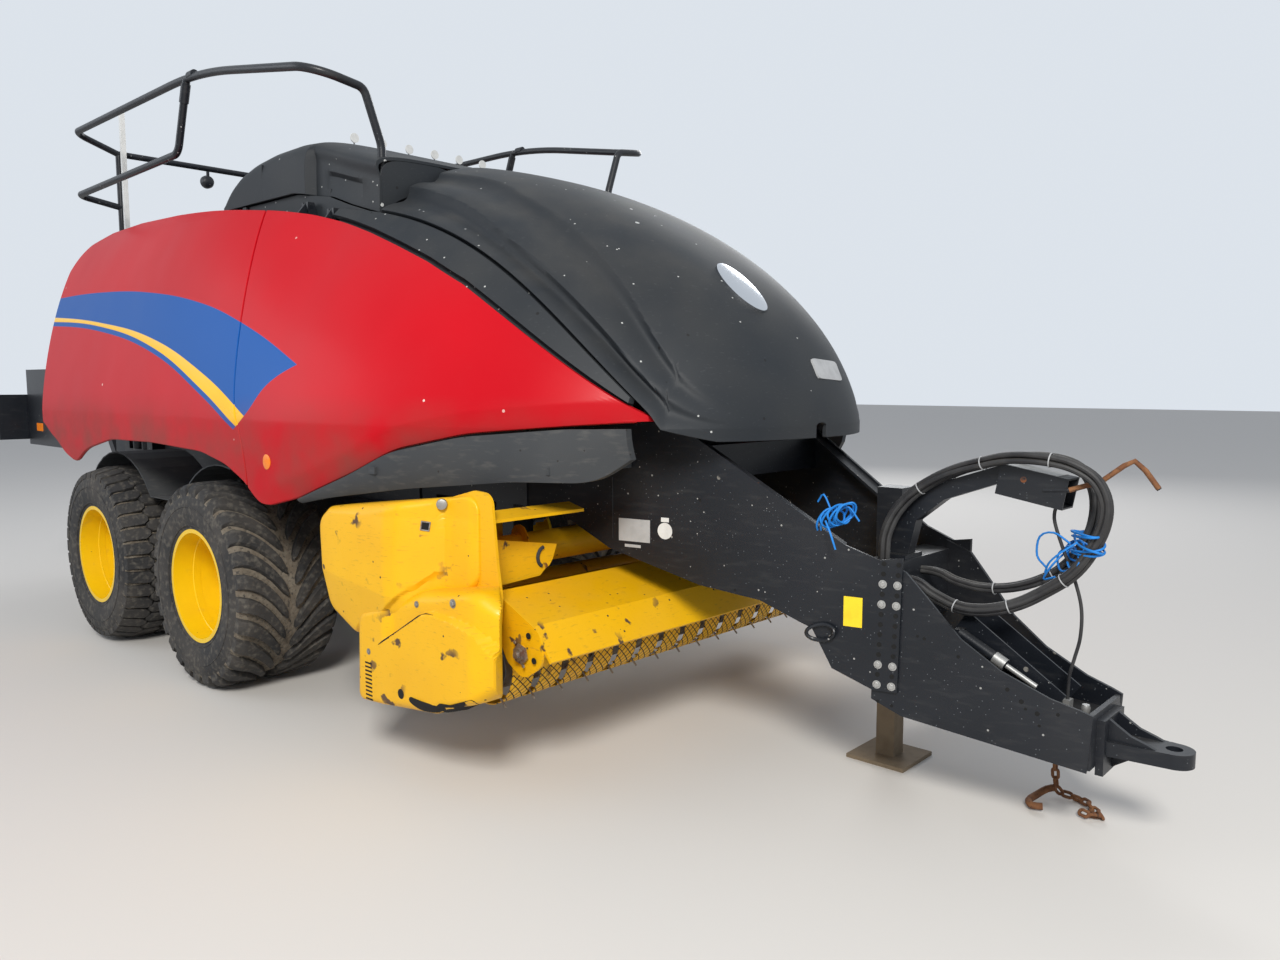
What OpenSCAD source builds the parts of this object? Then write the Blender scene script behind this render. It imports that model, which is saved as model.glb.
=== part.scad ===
// A large square baler with a tandem axle, a lifted pickup and a long drawbar.
// X points forwards to the tow eye, Y to the left of travel and Z up, in millimetres.
// The origin lies on the ground, halfway between the tow eye and the bale chute.

/* [Body] */
// Width over the side panels
body_w = 2780; // [2400:10:3100]
// Height of the crown above the widest line
crown_h = 1400; // [1200:10:1500]
// Height above the ground of the widest line
waist_z = 1400; // [1350:5:1450]
// X of the nose of the hood
nose_x = 2637; // [2600:1:2680]
// X where the plan of the body starts to narrow
plan_x = 180; // [100:10:260]
// Thickness of a body panel
panel_t = 22; // [12:1:28]
// Gap between two panels
panel_gap = 12; // [9:1:16]
// X of the rear edge of the rear side panels
rear_x = -2380; // [-2420:5:-2340]

/* [Running gear] */
// X of the front axle
axle_x = -220; // [-260:5:-200]
// Distance between the two axles
axle_gap = 1390; // [1340:5:1440]
// Radius over the tips of the tyre lugs
tyre_r = 535; // [520:1:545]
// Width of a tyre
tyre_w = 560; // [500:5:565]
// Distance between the middles of a pair of tyres
track = 2220; // [2210:5:2240]
// Radius of the rim flange
rim_r = 298; // [290:1:305]
// Radius of a wheel spindle
spindle_r = 45; // [35:1:50]
// Radial running clearance of a spindle or pin
fit_gap = 0.05; // [0.02:0.01:0.09]

/* [Frame] */
// Half of the width over the frame rails
frame_y = 610; // [600:1:620]
// Angle in plan at which the frame plates close towards the drawbar
frame_taper = 11; // [10.5:0.1:11.5]
// Thickness of a frame plate
plate_t = 12; // [8:1:14]
// Underside of the frame rails
rail_z = 800; // [790:5:820]
// Height of a frame rail
rail_h = 150; // [120:5:155]

/* [Bale chamber] */
// Width of a bale
bale_w = 1130; // [1000:5:1140]
// Height of a bale
bale_h = 880; // [800:5:900]
// Wall of the bale chamber
chamber_t = 20; // [12:1:24]
// X of the rear end of the bale chamber
chamber_end_x = -3420; // [-3440:5:-3400]

/* [Pickup] */
// Width between the pickup side plates
pickup_w = 2360; // [2300:5:2370]
// Radius of the reel over the tips of its tines
reel_r = 200; // [180:1:215]
// Radius of the crop roller on the wind guard
roller_r = 55; // [45:1:60]

/* [Drawbar] */
// X of the tip of the tow eye
tow_tip_x = 4060; // [4040:5:4080]
// Radius of the hole in the tow eye
tow_hole_r = 26; // [20:1:30]
// Height of the middle of the tow eye
tow_z = 352; // [340:1:365]
// X of the parking jack
jack_x = 2880; // [2850:5:2910]

/* [Hidden] */

// Colours of the finishes
red = [0.66, 0.03, 0.05];
hood_grey = [0.10, 0.11, 0.12];
frame_black = [0.05, 0.055, 0.06];
pickup_yellow = [0.93, 0.66, 0.04];
rubber_black = [0.06, 0.06, 0.06];
rim_yellow = [0.95, 0.75, 0.02];
guard_grey = [0.22, 0.23, 0.25];
steel_grey = [0.45, 0.45, 0.46];
hose_black = [0.12, 0.12, 0.13];

// Rounded corners: each row of an outline is [x, z, corner radius].
function unit(v) = v / norm(v);
function corner(p, c, n, steps) =
    let (
        a = unit([p[0] - c[0], p[1] - c[1]]),
        b = unit([n[0] - c[0], n[1] - c[1]]),
        half = acos(max(-1, min(1, a * b))) / 2,
        r = c[2],
        back = r / tan(half),
        middle = [c[0], c[1]] + unit(a + b) * (r / sin(half)),
        from = [c[0], c[1]] + a * back - middle,
        to = [c[0], c[1]] + b * back - middle,
        turn = atan2(from[0] * to[1] - from[1] * to[0], from * to)
    )
    r <= 0 || half > 89 ? [[c[0], c[1]]] :
    [for (i = [0:steps]) let (w = turn * i / steps)
        middle + [from[0] * cos(w) - from[1] * sin(w), from[0] * sin(w) + from[1] * cos(w)]];
function rounded(rows, steps = 5) =
    [for (i = [0:len(rows) - 1])
        each corner(rows[(i + len(rows) - 1) % len(rows)], rows[i], rows[(i + 1) % len(rows)], steps)];

// A plate whose outline lies in the XZ plane, from y0 to y0 + t.
module plate_xz(outline, y0, t) {
    translate([0, y0 + t, 0])
        rotate([90, 0, 0])
            linear_extrude(t)
                polygon(outline);
}

// A plate whose outline lies in the XY plane, from z0 to z0 + t.
module plate_xy(outline, z0, t) {
    translate([0, 0, z0])
        linear_extrude(t)
            polygon(outline);
}

// A box from its lowest and highest corners.
module box(low, high) {
    translate(low)
        cube(high - low);
}

// A round bar along Y, from y0 to y1.
module bar_y(x, z, r, y0, y1, sides = 48) {
    translate([x, y0, z])
        rotate([-90, 0, 0])
            cylinder(r = r, h = y1 - y0, $fn = sides);
}

// A round bar along X, from x0 to x1.
module bar_x(y, z, r, x0, x1, sides = 32) {
    translate([x0, y, z])
        rotate([0, 90, 0])
            cylinder(r = r, h = x1 - x0, $fn = sides);
}

// A round bar that follows a route: one ring of sides at each point, carried along without a twist.
module pipe(route, r, sides = 12) {
    n = len(route);
    function dir(i) = unit(unit(route[min(i + 1, n - 1)] - route[min(i, n - 2)]) + unit(route[max(i, 1)] - route[max(i - 1, 0)]));
    function across(v, d) = unit(v - (v * d) * d);
    start = across(abs(dir(0)[2]) > 0.9 ? [1, 0, 0] : [0, 0, 1], dir(0));
    frames = [for (i = 0, v = start; i < n; i = i + 1, v = across(v, dir(min(i, n - 1)))) [v, cross(dir(i), v)]];
    points = [for (i = [0:n - 1]) for (k = [0:sides - 1])
        route[i] + r * (frames[i][0] * cos(360 * k / sides) + frames[i][1] * sin(360 * k / sides))];
    faces = concat(
        [[for (k = [0:sides - 1]) k]],
        [[for (k = [0:sides - 1]) n * sides - 1 - k]],
        [for (i = [0:n - 2], k = [0:sides - 1]) each [
            [i * sides + k, (i + 1) * sides + (k + 1) % sides, i * sides + (k + 1) % sides],
            [i * sides + k, (i + 1) * sides + k, (i + 1) * sides + (k + 1) % sides]]]);
    polyhedron(points = points, faces = faces, convexity = 8);
}

// The left half is the mirror image of the right half.
module on_side(side) {
    if (side > 0)
        mirror([0, 1, 0])
            children();
    else
        children();
}

// The outer shape of the body: at each x the section is a rounded curve over the waist line,
// |y / half width| ^ p + (height / crown) ^ q = 1, and below the waist the wall stands upright.
plan_power = 2.28;
crown_power = 0.56;
crown_q = 1.3;
crown_x = -420;
square_p = 5;
round_p = 2.5;
round_x0 = -820;
round_x1 = 680;
wall_per_degree = 10;
function clamp01(v) = max(0, min(1, v));
function half_width(x, inset) =
    (body_w / 2 - inset) * pow(1 - pow(clamp01((x - plan_x) / (nose_x - plan_x - inset)), plan_power), 1 / plan_power);
function crown(x, inset) =
    (crown_h - inset) * pow(1 - pow(clamp01((x - crown_x) / (nose_x - crown_x - inset)), 2), crown_power);
function section_p(x) =
    let (t = clamp01((x - round_x0) / (round_x1 - round_x0)))
    square_p + (round_p - square_p) * t * t * (3 - 2 * t);
function body_y(x, phi, inset) =
    half_width(x, inset) * (phi > 0 ? pow(cos(phi), 2 / section_p(x)) : 1);
function body_z(x, phi, inset) =
    waist_z + (phi > 0 ? crown(x, inset) * pow(sin(phi), 2 / crown_q) : wall_per_degree * phi);
function body_point(x, phi, inset) = [x, -body_y(x, phi, inset), body_z(x, phi, inset)];
function phi_of_z(x, z) =
    z < waist_z ? (z - waist_z) / wall_per_degree :
    asin(pow(clamp01((z - waist_z) / crown(x, 0)), crown_q / 2));

// Lines drawn on the body, as angles up from the waist.
hood_line_x = 200;
hood_line_len = 2180;
red_line_len = 2400;
function hood_line(x) = 57 * pow(1 - pow(clamp01((x - hood_line_x) / hood_line_len), 3), 0.5);
function red_line(x) = 55.5 * pow(1 - pow(clamp01(x / red_line_len), 2), 0.52);

// Lower edge of the red panels: each row is [x, z].
red_low = [
    [-2380, 1330], [-2240, 1255], [-2130, 1215], [-1990, 1140], [-1800, 1090], [-1690, 1150],
    [-1580, 1190], [-1220, 1255], [-650, 1260], [-40, 1240], [230, 1190], [420, 1115],
    [510, 1045], [580, 1020], [830, 1080], [1170, 1205], [1400, 1310], [1730, 1380],
    [2110, 1415], [2320, 1432], [2450, 1440]
];
// Lower edge of the grey skirts: each row is [x, z].
skirt_low = [[780, 1040], [1010, 1085], [1460, 1150], [1910, 1195], [2160, 1195], [2230, 1225], [2290, 1290], [2400, 1360]];

// The seam between the two side panels leans forwards towards its foot.
seam_foot_x = 430;
seam_lean = 470;
function seam_x(v) = seam_foot_x - seam_lean * pow(clamp01(1 - v), 1.6);

// A closed shell from a grid of outer points and a grid of inner points of the same size.
module shell(outer, inner) {
    m = len(outer);
    n = len(outer[0]);
    k = m * n;
    points = concat([for (row = outer) each row], [for (row = inner) each row]);
    faces = concat(
        [for (i = [0:m - 2], j = [0:n - 2]) each [
            [i * n + j, i * n + j + 1, (i + 1) * n + j + 1],
            [i * n + j, (i + 1) * n + j + 1, (i + 1) * n + j]]],
        [for (i = [0:m - 2], j = [0:n - 2]) each [
            [k + i * n + j, k + (i + 1) * n + j + 1, k + i * n + j + 1],
            [k + i * n + j, k + (i + 1) * n + j, k + (i + 1) * n + j + 1]]],
        [for (i = [0:m - 2]) each [
            [i * n, (i + 1) * n, k + (i + 1) * n],
            [i * n, k + (i + 1) * n, k + i * n],
            [i * n + n - 1, k + (i + 1) * n + n - 1, (i + 1) * n + n - 1],
            [i * n + n - 1, k + i * n + n - 1, k + (i + 1) * n + n - 1]]],
        [for (j = [0:n - 2]) each [
            [j, k + j + 1, j + 1],
            [j, k + j, k + j + 1],
            [(m - 1) * n + j, (m - 1) * n + j + 1, k + (m - 1) * n + j + 1],
            [(m - 1) * n + j, k + (m - 1) * n + j + 1, k + (m - 1) * n + j]]]);
    polyhedron(points = points, faces = faces, convexity = 6);
}

// Top edge of the red panels. The rear corner falls away in a curve.
rear_corner_len = 420;
rear_corner_drop = 9;
red_top_x = 290;
// Distance of the top edge from the middle: each row is [x, y].
red_top_y = [[-2380, 1065], [-1300, 1045], [-600, 1010], [0, 955], [290, 945]];
function red_top(x) =
    x > red_top_x ? red_line(x) :
    acos(pow(lookup(x, red_top_y) / half_width(x, 0), section_p(x) / 2))
        - rear_corner_drop * pow(clamp01((rear_x + rear_corner_len - x) / rear_corner_len), 2);

// A stretch of the body between two lines in x and two lines in angle.
panel_rows = 20;
panel_columns = 12;
module panel_grid(x0, x1, bottom, top, lean = "none", rows = panel_rows) {
    function grid(inset) = [for (i = [0:rows]) [for (j = [0:panel_columns])
        let (
            v = j / panel_columns,
            u = i / rows,
            xs = lean == "front" ? seam_x(1 - v) + panel_gap : x0,
            xe = lean == "rear" ? seam_x(1 - v) : x1,
            x = xs + (xe - xs) * u,
            phi = bottom(x) + (top(x) - bottom(x)) * v
        )
        body_point(x, phi, inset)]];
    shell(grid(0), grid(panel_t));
}

// Hinge of a rear panel, parallel to X, and of a front panel, which falls towards the nose.
hinge_line_y = 880;
hinge_line_z = 2500;
front_hinge_fall = 0.24;
panel_pin_r = 12;
rear_arms = [-1900, -700];
front_arms = [160, 400];
arm_t = 16;
arm_w = 30;
function hinge_z(part, x) = hinge_line_z - (part == "rear" ? 0 : front_hinge_fall * x);
function hinge_angle(part) = part == "rear" ? 0 : atan(front_hinge_fall);

// An arm from the hinge pin to the inside of a side panel, with its pin.
module hinge_arm(part, x, high, low) {
    y = hinge_line_y;
    z = hinge_z(part, x);
    a = body_point(x, high, panel_t - 4);
    b = body_point(x, low, panel_t - 4);
    translate([x - arm_t / 2, 0, 0])
        rotate([90, 0, 90])
            linear_extrude(arm_t)
                polygon([[-y + arm_w / 2, z - arm_w / 2], [-y + arm_w / 2, z + arm_w / 2],
                    [-y - arm_w / 2, z + arm_w / 2], [a[1], a[2]], [b[1], b[2]]]);
    translate([x, -y, z])
        rotate([0, hinge_angle(part), 0])
            rotate([0, 90, 0])
                cylinder(r = panel_pin_r, h = 64, center = true, $fn = 32);
}

// Ears on the frame that hold the two ends of a panel's hinge pin.
ear_gap = 6;
module hinge_ears(part, x, foot_z) {
    y = hinge_line_y;
    z = hinge_z(part, x);
    difference() {
        for (end = [-1, 1])
            translate([x + end * (arm_t / 2 + ear_gap + arm_t / 2) - arm_t / 2, 0, 0])
                rotate([90, 0, 90])
                    linear_extrude(arm_t)
                        polygon([[-y - 18, z - 18], [-y - 18, z + 18], [-y + 18, z + 18],
                            [-platform_y - 10, foot_z], [-platform_y - 20, foot_z], [-platform_y - 20, foot_z - 50]]);
        translate([x, -y, z])
            rotate([0, hinge_angle(part), 0])
                rotate([0, 90, 0])
                    cylinder(r = panel_pin_r + fit_gap, h = 200, center = true, $fn = 32);
    }
}

module panel_rear(side) {
    color(red) on_side(side) {
        panel_grid(rear_x, 0, function(x) phi_of_z(x, lookup(x, red_low)), function(x) red_top(x), "rear");
        for (x = rear_arms)
            hinge_arm("rear", x, 54, 40);
    }
}

front_tip_x = 2330;
module panel_front(side) {
    color(red) on_side(side) {
        panel_grid(0, front_tip_x, function(x) phi_of_z(x, lookup(x, red_low)), function(x) red_top(x), "front");
        for (x = front_arms)
            hinge_arm("front", x, 49, 42);
    }
}

// The roof bands lie between the red line and the hood.
band_x0 = 450;
band_x1 = 2280;
band_gap = 1.2;
band_end_gap = 1.6;
function band_low(x) = red_line(x) + band_gap + (band_end_gap - band_gap) * clamp01((x - 1400) / 900);
module roof_bands() {
    color(hood_grey)
        for (side = [-1, 1])
            on_side(side) {
                panel_grid(band_x0, band_x1, function(x) band_low(x), function(x) hood_line(x), rows = 16);
                // Stay from the upright of the chassis, and bracket to the beam of the walkway
                translate([1350, 0, 0])
                    rotate([90, 0, 90])
                        linear_extrude(40)
                            polygon([[-590, frame_top_z], [-550, frame_top_z], [-868, 2134], [-905, 2098]]);
                box([640, -862, 2200], [700, -platform_y - 20, 2374]);
            }
}

// The grey skirts close the sides below the front panels.
skirt_x0 = 840;
skirt_x1 = 2290;
skirt_gap = 14;
module skirts() {
    color(guard_grey)
        for (side = [-1, 1])
            on_side(side) {
                panel_grid(skirt_x0, skirt_x1, function(x) phi_of_z(x, lookup(x, skirt_low)),
                    function(x) (lookup(x, red_low) - skirt_gap - waist_z) / wall_per_degree, rows = 14);
                box([1285, -1290, 1205], [1335, -frame_y - plate_t, 1235]);
                plate_xy([[2000, -1004], [2050, -976], [2050, -taper_y(2050, 0)], [2000, -taper_y(2000, 0)]], 1225, 30);
            }
}

// The hood reaches from its hinge over the nose down to its lip.
hood_x0 = 740;
hood_t = 20;
hood_gap = 0.9;
lip_z = 1350;
lip_x = 2350;
hood_rows = 22;
hood_columns = 24;
function lip_phi(x) =
    let (t = clamp01((x - lip_x) / 160))
    (hood_line(x) + hood_gap) * (1 - t) + (lip_z - waist_z) / wall_per_degree * t;
function hood_x(u, inset) = hood_x0 + (nose_x - inset - hood_x0) * sin(89 * u);
module hood() {
    function grid(inset) = [for (i = [0:hood_rows]) [for (j = [0:hood_columns])
        let (
            x = hood_x(i / hood_rows, inset),
            v = 2 * j / hood_columns - 1,
            low = lip_phi(x),
            phi = low + (90 - low) * (1 - abs(v)),
            p = body_point(x, phi, inset)
        )
        v < 0 ? p : [p[0], -p[1], p[2]]]];
    color(hood_grey) {
        shell(grid(0), grid(hood_t));
        for (y = [-hood_lug_y, hood_lug_y])
            difference() {
                plate_xz([[hood_hinge_x - 14, hood_hinge_z - 13], [hood_hinge_x - 14, hood_hinge_z + 11], [hood_hinge_x, hood_hinge_z + 14],
                    [742, 2669], [820, 2652], [820, 2615], [742, 2636]], y - 12, 24);
                bar_y(hood_hinge_x, hood_hinge_z, hood_pin_r + fit_gap, y - 20, y + 20, 32);
            }
    }
}
hood_hinge_x = 712;
hood_hinge_z = 2665;
hood_lug_y = 150;
hood_pin_r = 9;

// The knotter cover is a hump behind the hood.
cover_x0 = -790;
cover_x1 = 706;
cover_y = 870;
cover_t = 16;
cover_rows = 20;
cover_columns = 20;
cover_power = [[200, 5], [715, 3.2]];
// Top and foot of the cover along its length: each row is [x, z].
cover_top = [
    [-790, 2562], [-765, 2620], [-700, 2700], [-600, 2765], [-450, 2808], [-250, 2832], [0, 2836],
    [200, 2822], [400, 2778], [600, 2735], [715, 2714]
];
cover_foot = [[-790, 2548], [0, 2548], [300, 2500], [480, 2440], [715, 2375]];
cover_leg_x = [-560, 250];
function sgn_pow(v, e) = v < 0 ? -pow(-v, e) : pow(v, e);
function cover_point(x, w, inset) =
    let (foot = lookup(x, cover_foot), rise = max(4, lookup(x, cover_top) - inset - foot), half = cover_y - inset)
    [x, -half * sgn_pow(cos(w), 2 / lookup(x, cover_power)), foot + rise * pow(sin(w), 2 / lookup(x, cover_power))];
module knotter_cover() {
    function grid(inset) = [for (i = [0:cover_rows]) [for (j = [0:cover_columns])
        cover_point(cover_x0 + (cover_x1 - cover_x0) * i / cover_rows, 180 * j / cover_columns, inset)]];
    function section(w) = let (p = cover_point(cover_x1 - 2, w, 6)) [p[1], p[2]];
    color(hood_grey)
        difference() {
            union() {
                shell(grid(0), grid(cover_t));
                for (side = [-1, 1])
                    on_side(side) {
                        // End wall beside the hood's hinges
                        translate([cover_x1 - 12, 0, 0])
                            rotate([90, 0, 90])
                                linear_extrude(10)
                                    polygon(concat([for (j = [0:9]) section(9 * j)],
                                        [[-220, 2640], [-500, 2570], [-700, 2470], [-850, 2380]]));
                        // Legs down to the walkway's beams
                        for (x = cover_leg_x)
                            box([x - 20, -cover_y + 8, platform_z], [x + 20, -platform_y - 12, 2600]);
                        for (x = cover_leg_x)
                            box([x - 20, -cover_y + 8, platform_z - 20], [x + 20, -platform_y - 20, platform_z]);
                    }
                // Stems of the twine indicator discs
                for (y = disc_y)
                    box([disc_x - 3, y - 3, 2800], [disc_x + 3, y + 3, disc_z + 12]);
            }
            for (side = [-1, 1])
                bar_z(rail_leg_x, side * rail_leg_y, rail_r + 0.3, 2300, 2900);
        }
}

// Walkway behind the knotter cover, on posts over the bale chamber.
platform_y = 780;
platform_z = 2250;
platform_t = 40;
platform_x0 = -2300;
platform_x1 = 760;
beam_h = 60;
chamber_y = bale_w / 2 + chamber_t;
chamber_z0 = rail_z + rail_h;
chamber_z1 = chamber_z0 + bale_h + 2 * chamber_t;
post_rows = [-2200, -1400, -600, 560];
module platform() {
    color(frame_black) {
        for (side = [-1, 1])
            on_side(side) {
                box([platform_x0, -platform_y - 20, platform_z - beam_h], [platform_x1, -platform_y + 20, platform_z]);
                for (x = post_rows)
                    box([x - 30, -chamber_y, chamber_z1], [x + 30, -chamber_y + 60, platform_z - beam_h]);
                for (x = rear_arms)
                    hinge_ears("rear", x, platform_z - 10);
                for (x = front_arms)
                    hinge_ears("front", x, platform_z - 10);
            }
        for (x = post_rows)
            box([x - 30, -platform_y, platform_z - beam_h - 40], [x + 30, platform_y, platform_z - beam_h]);
        box([720, -platform_y - 20, platform_z - beam_h - 40], [760, platform_y + 20, platform_z - beam_h]);
        box([platform_x0, -platform_y + 20, platform_z - platform_t], [cover_x0 + 40, platform_y - 20, platform_z - 10]);
        // Brackets and pins of the hood's hinge
        box([660, -platform_y + 20, platform_z - beam_h], [730, platform_y - 20, platform_z - 20]);
        for (y = [-hood_lug_y, hood_lug_y])
            difference() {
                union() {
                    for (end = [-1, 1])
                        box([697, y + end * 25 - 7, platform_z - 30], [727, y + end * 25 + 7, hood_hinge_z + 14]);
                    bar_y(hood_hinge_x, hood_hinge_z, hood_pin_r, y - 30, y + 30, 32);
                }
            }
    }
}

// Guard rails round the walkway: each row is a point of the right-hand rail.
rail_r = 20;
rail_y = 1130;
rail_post_y = 870;
rail_end_x = -2290;
rail_leg_x = 696;
rail_leg_y = 775;
top_rail = [
    [rail_end_x, -rail_post_y, 3095], [rail_end_x, -920, 3110], [rail_end_x, -1075, 3170], [-2282, -1115, 3182], [-2245, -rail_y, 3187],
    [-480, -rail_y, 3187], [-430, -rail_y, 3183], [-380, -rail_y, 3174], [600, -rail_y, 2996], [645, -1115, 2980],
    [670, -1070, 2966], [676, -900, 2950], [679, -862, 2935], [684, -830, 2890], [rail_leg_x, -rail_leg_y, 2720],
    [rail_leg_x, -rail_leg_y, platform_z]
];
mid_rail = [
    [-600, -rail_y, 3187], [-725, -rail_y, 2870], [-760, -rail_y, 2830], [-820, -rail_y, 2815], [-2245, -rail_y, 2792],
    [-2282, -1115, 2790], [rail_end_x, -1075, 2785], [rail_end_x, -rail_post_y, 2745]
];
rear_post = [
    [rail_end_x, -rail_post_y, 3095], [rail_end_x, -rail_post_y, 2420], [rail_end_x, -860, 2380],
    [rail_end_x, -platform_y - 10, 2310], [rail_end_x, -platform_y, 2290], [rail_end_x, -platform_y, platform_z]
];
lamp_y = -276;
lamp_z = 3005;
lamp_r = 45;
module guard_rails() {
    color(frame_black) {
        for (side = [-1, 1])
            on_side(side) {
                pipe(top_rail, rail_r);
                pipe(mid_rail, rail_r);
                pipe(rear_post, rail_r);
            }
        bar_y(rail_end_x, 3095, rail_r, -rail_post_y, rail_post_y);
        // Round work lamp under the rear cross rail
        bar_x(lamp_y, lamp_z, lamp_r, rail_end_x - 35, rail_end_x + 25);
        box([rail_end_x - 8, lamp_y - 8, lamp_z], [rail_end_x + 8, lamp_y + 8, 3095]);
    }
}
module bar_z(x, y, r, z0, z1, sides = 32) {
    translate([x, y, z0])
        cylinder(r = r, h = z1 - z0, $fn = sides);
}

// Slim white mast that shows the knotters at work, with the round work lamp beside it.
mast_x = -2200;
mast_y = 873;
module indicator_mast() {
    color([0.9, 0.9, 0.9]) {
        box([mast_x - 12, -mast_y - 15, platform_z], [mast_x + 12, -mast_y + 15, 3365]);
        box([mast_x - 12, -mast_y - 15, platform_z - 30], [mast_x + 12, -platform_y - 20, platform_z]);
    }
}

// Twine indicator discs on thin stems over the crown.
disc_x = -100;
disc_z = 2918;
disc_y = [-445, -267, -89, 89, 267, 445];
module twine_indicators() {
    color([0.85, 0.86, 0.88])
        for (y = disc_y)
            bar_x(y, disc_z, 26, disc_x + 3, disc_x + 9);
}

// Rails, cross members and the uprights that carry the front of the machine.
rail_y0 = frame_y - 120;
rail_x0 = -3200;
rail_x1 = 1400;
cross_rows = [-3100, -1850, -915, 60, 700];
pivot_x = 750;
pivot_z = 700;
pivot_r = 22;
module chassis_rails() {
    color(frame_black)
        difference() {
            union() {
                for (side = [-1, 1])
                    on_side(side) {
                        box([rail_x0, -frame_y, rail_z], [rail_x1, -rail_y0, rail_z + rail_h]);
                        box([700, -frame_y, rail_z + rail_h], [820, -rail_y0, platform_z - beam_h - 40]);
                        box([1280, -frame_y, rail_z + rail_h], [1400, -rail_y0, frame_top_z]);
                        box([820, -frame_y, frame_top_z - 100], [1280, -rail_y0, frame_top_z]);
                        box([pivot_x - 60, -frame_y, pivot_z - 50], [pivot_x + 60, -frame_y + 60, rail_z]);
                    }
                for (x = cross_rows)
                    box([x - 50, -rail_y0, rail_z + 20], [x + 50, rail_y0, rail_z + rail_h - 10]);
            }
            bar_y(pivot_x, pivot_z, pivot_r + fit_gap, -frame_y - 10, frame_y + 10);
        }
}

// The bale chamber is a long box, open at its rear end and at the front.
chamber_x1 = 640;
module bale_chamber() {
    color(guard_grey)
        difference() {
            union() {
                box([chamber_end_x, -chamber_y, chamber_z0], [chamber_x1, chamber_y, chamber_z1]);
                for (side = [-1, 1])
                    on_side(side)
                        box([chute_x - 32, -chamber_y - 20, chute_z - 32], [chamber_end_x + 120, -chamber_y, chute_z + 32]);
            }
            bar_y(chute_x, chute_z, 15 + fit_gap, -chamber_y - 30, chamber_y + 30, 32);
            box([chamber_end_x - 10, -bale_w / 2, chamber_z0 + chamber_t],
                [chamber_x1 - chamber_t, bale_w / 2, chamber_z1 - chamber_t]);
        }
}

// Portal round the rear of the chamber, with the two pairs of cylinders that squeeze the bale.
portal_x = -2950;
module density_frame() {
    color(frame_black) {
        for (side = [-1, 1])
            on_side(side) {
                for (x = [portal_x, portal_x + 420])
                    box([x - 45, -chamber_y - 90, chamber_z0], [x + 45, -chamber_y, chamber_z1 + 110]);
                for (x = [portal_x + 130, portal_x + 290]) {
                    bar_z(x, -chamber_y - 50, 42, chamber_z0 + 140, chamber_z1 - 120);
                    bar_z(x, -chamber_y - 50, 22, chamber_z1 - 120, chamber_z1 + 40);
                }
                box([portal_x, -chamber_y - 90, chamber_z1 + 30], [portal_x + 420, -chamber_y - 10, chamber_z1 + 70]);
                box([portal_x, -chamber_y - 90, chamber_z0 + 90], [portal_x + 420, -chamber_y - 10, chamber_z0 + 140]);
            }
        for (x = [portal_x, portal_x + 420])
            box([x - 45, -chamber_y, chamber_z1], [x + 45, chamber_y, chamber_z1 + 110]);
    }
}

// Each frame plate runs straight beside the rails and then closes in towards the drawbar.
bend_x = 1500;
frame_top_z = 1430;
front_outline = [
    [1506, 1430], [2224, 1430], [2953, 980], [3083, 935], [3165, 950], [3157, 453], [3069, 450],
    [2913, 508], [2833, 651], [2785, 668], [2621, 733], [2362, 764], [1938, 877], [1683, 1013], [1506, 1030]
];
drawbar_outline = [
    [3060, 935], [3174, 898], [3246, 819], [3369, 680], [3503, 587], [3663, 516], [3754, 492], [3793, 479],
    [3781, 282], [3170, 366], [3060, 413]
];
function along(x) = (x - bend_x) / cos(frame_taper);
// Puts a plate drawn in x and z on the slanting plane of the right-hand side, its outer face inset by y.
module on_taper(outline, y, t) {
    translate([bend_x, -frame_y - plate_t, 0])
        rotate([0, 0, frame_taper])
            plate_xz([for (p = outline) [along(p[0]), p[1]]], y, t);
}
// Distance from the middle of a face that lies a given depth inside the slanting plate.
function taper_y(x, inset) = frame_y + plate_t - (x - bend_x) * tan(frame_taper) - inset / cos(frame_taper);
function taper_box(x0, x1, inset) =
    [[x0, -taper_y(x0, inset)], [x1, -taper_y(x1, inset)], [x1, taper_y(x1, inset)], [x0, taper_y(x0, inset)]];
module frame_plates() {
    color(frame_black)
        for (side = [-1, 1])
            on_side(side) {
                box([820, -frame_y - plate_t, 1030], [bend_x - 6, -frame_y, frame_top_z]);
                box([bend_x - 12, -frame_y - plate_t - 4, 1024], [bend_x + 12, -frame_y + 6, frame_top_z + 4]);
                on_taper(front_outline, 0, plate_t);
                translate([bend_x, -frame_y - plate_t, 0])
                    rotate([0, 0, frame_taper])
                        plate_xz([[along(2240), 1408], [along(2940), 976], [along(2934), 966], [along(2234), 1398]], plate_t - 4, 60);
            }
}

// Cross pieces and side plates of the drawbar.
module drawbar() {
    color(frame_black) {
        for (side = [-1, 1])
            on_side(side)
                on_taper(drawbar_outline, plate_t, plate_t);
        // Floor and front face between the two side plates
        plate_xy(taper_box(3080, 3784, 2 * plate_t - 6), 405, 12);
        plate_xy(taper_box(3768, flange_x, 2 * plate_t - 6), 290, 185);
        // Cross boxes that join the two frame plates
        plate_xy(taper_box(2940, 3070, plate_t), 640, 260);
        plate_xy(taper_box(2250, 2330, plate_t), 1180, 140);
    }
}

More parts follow.
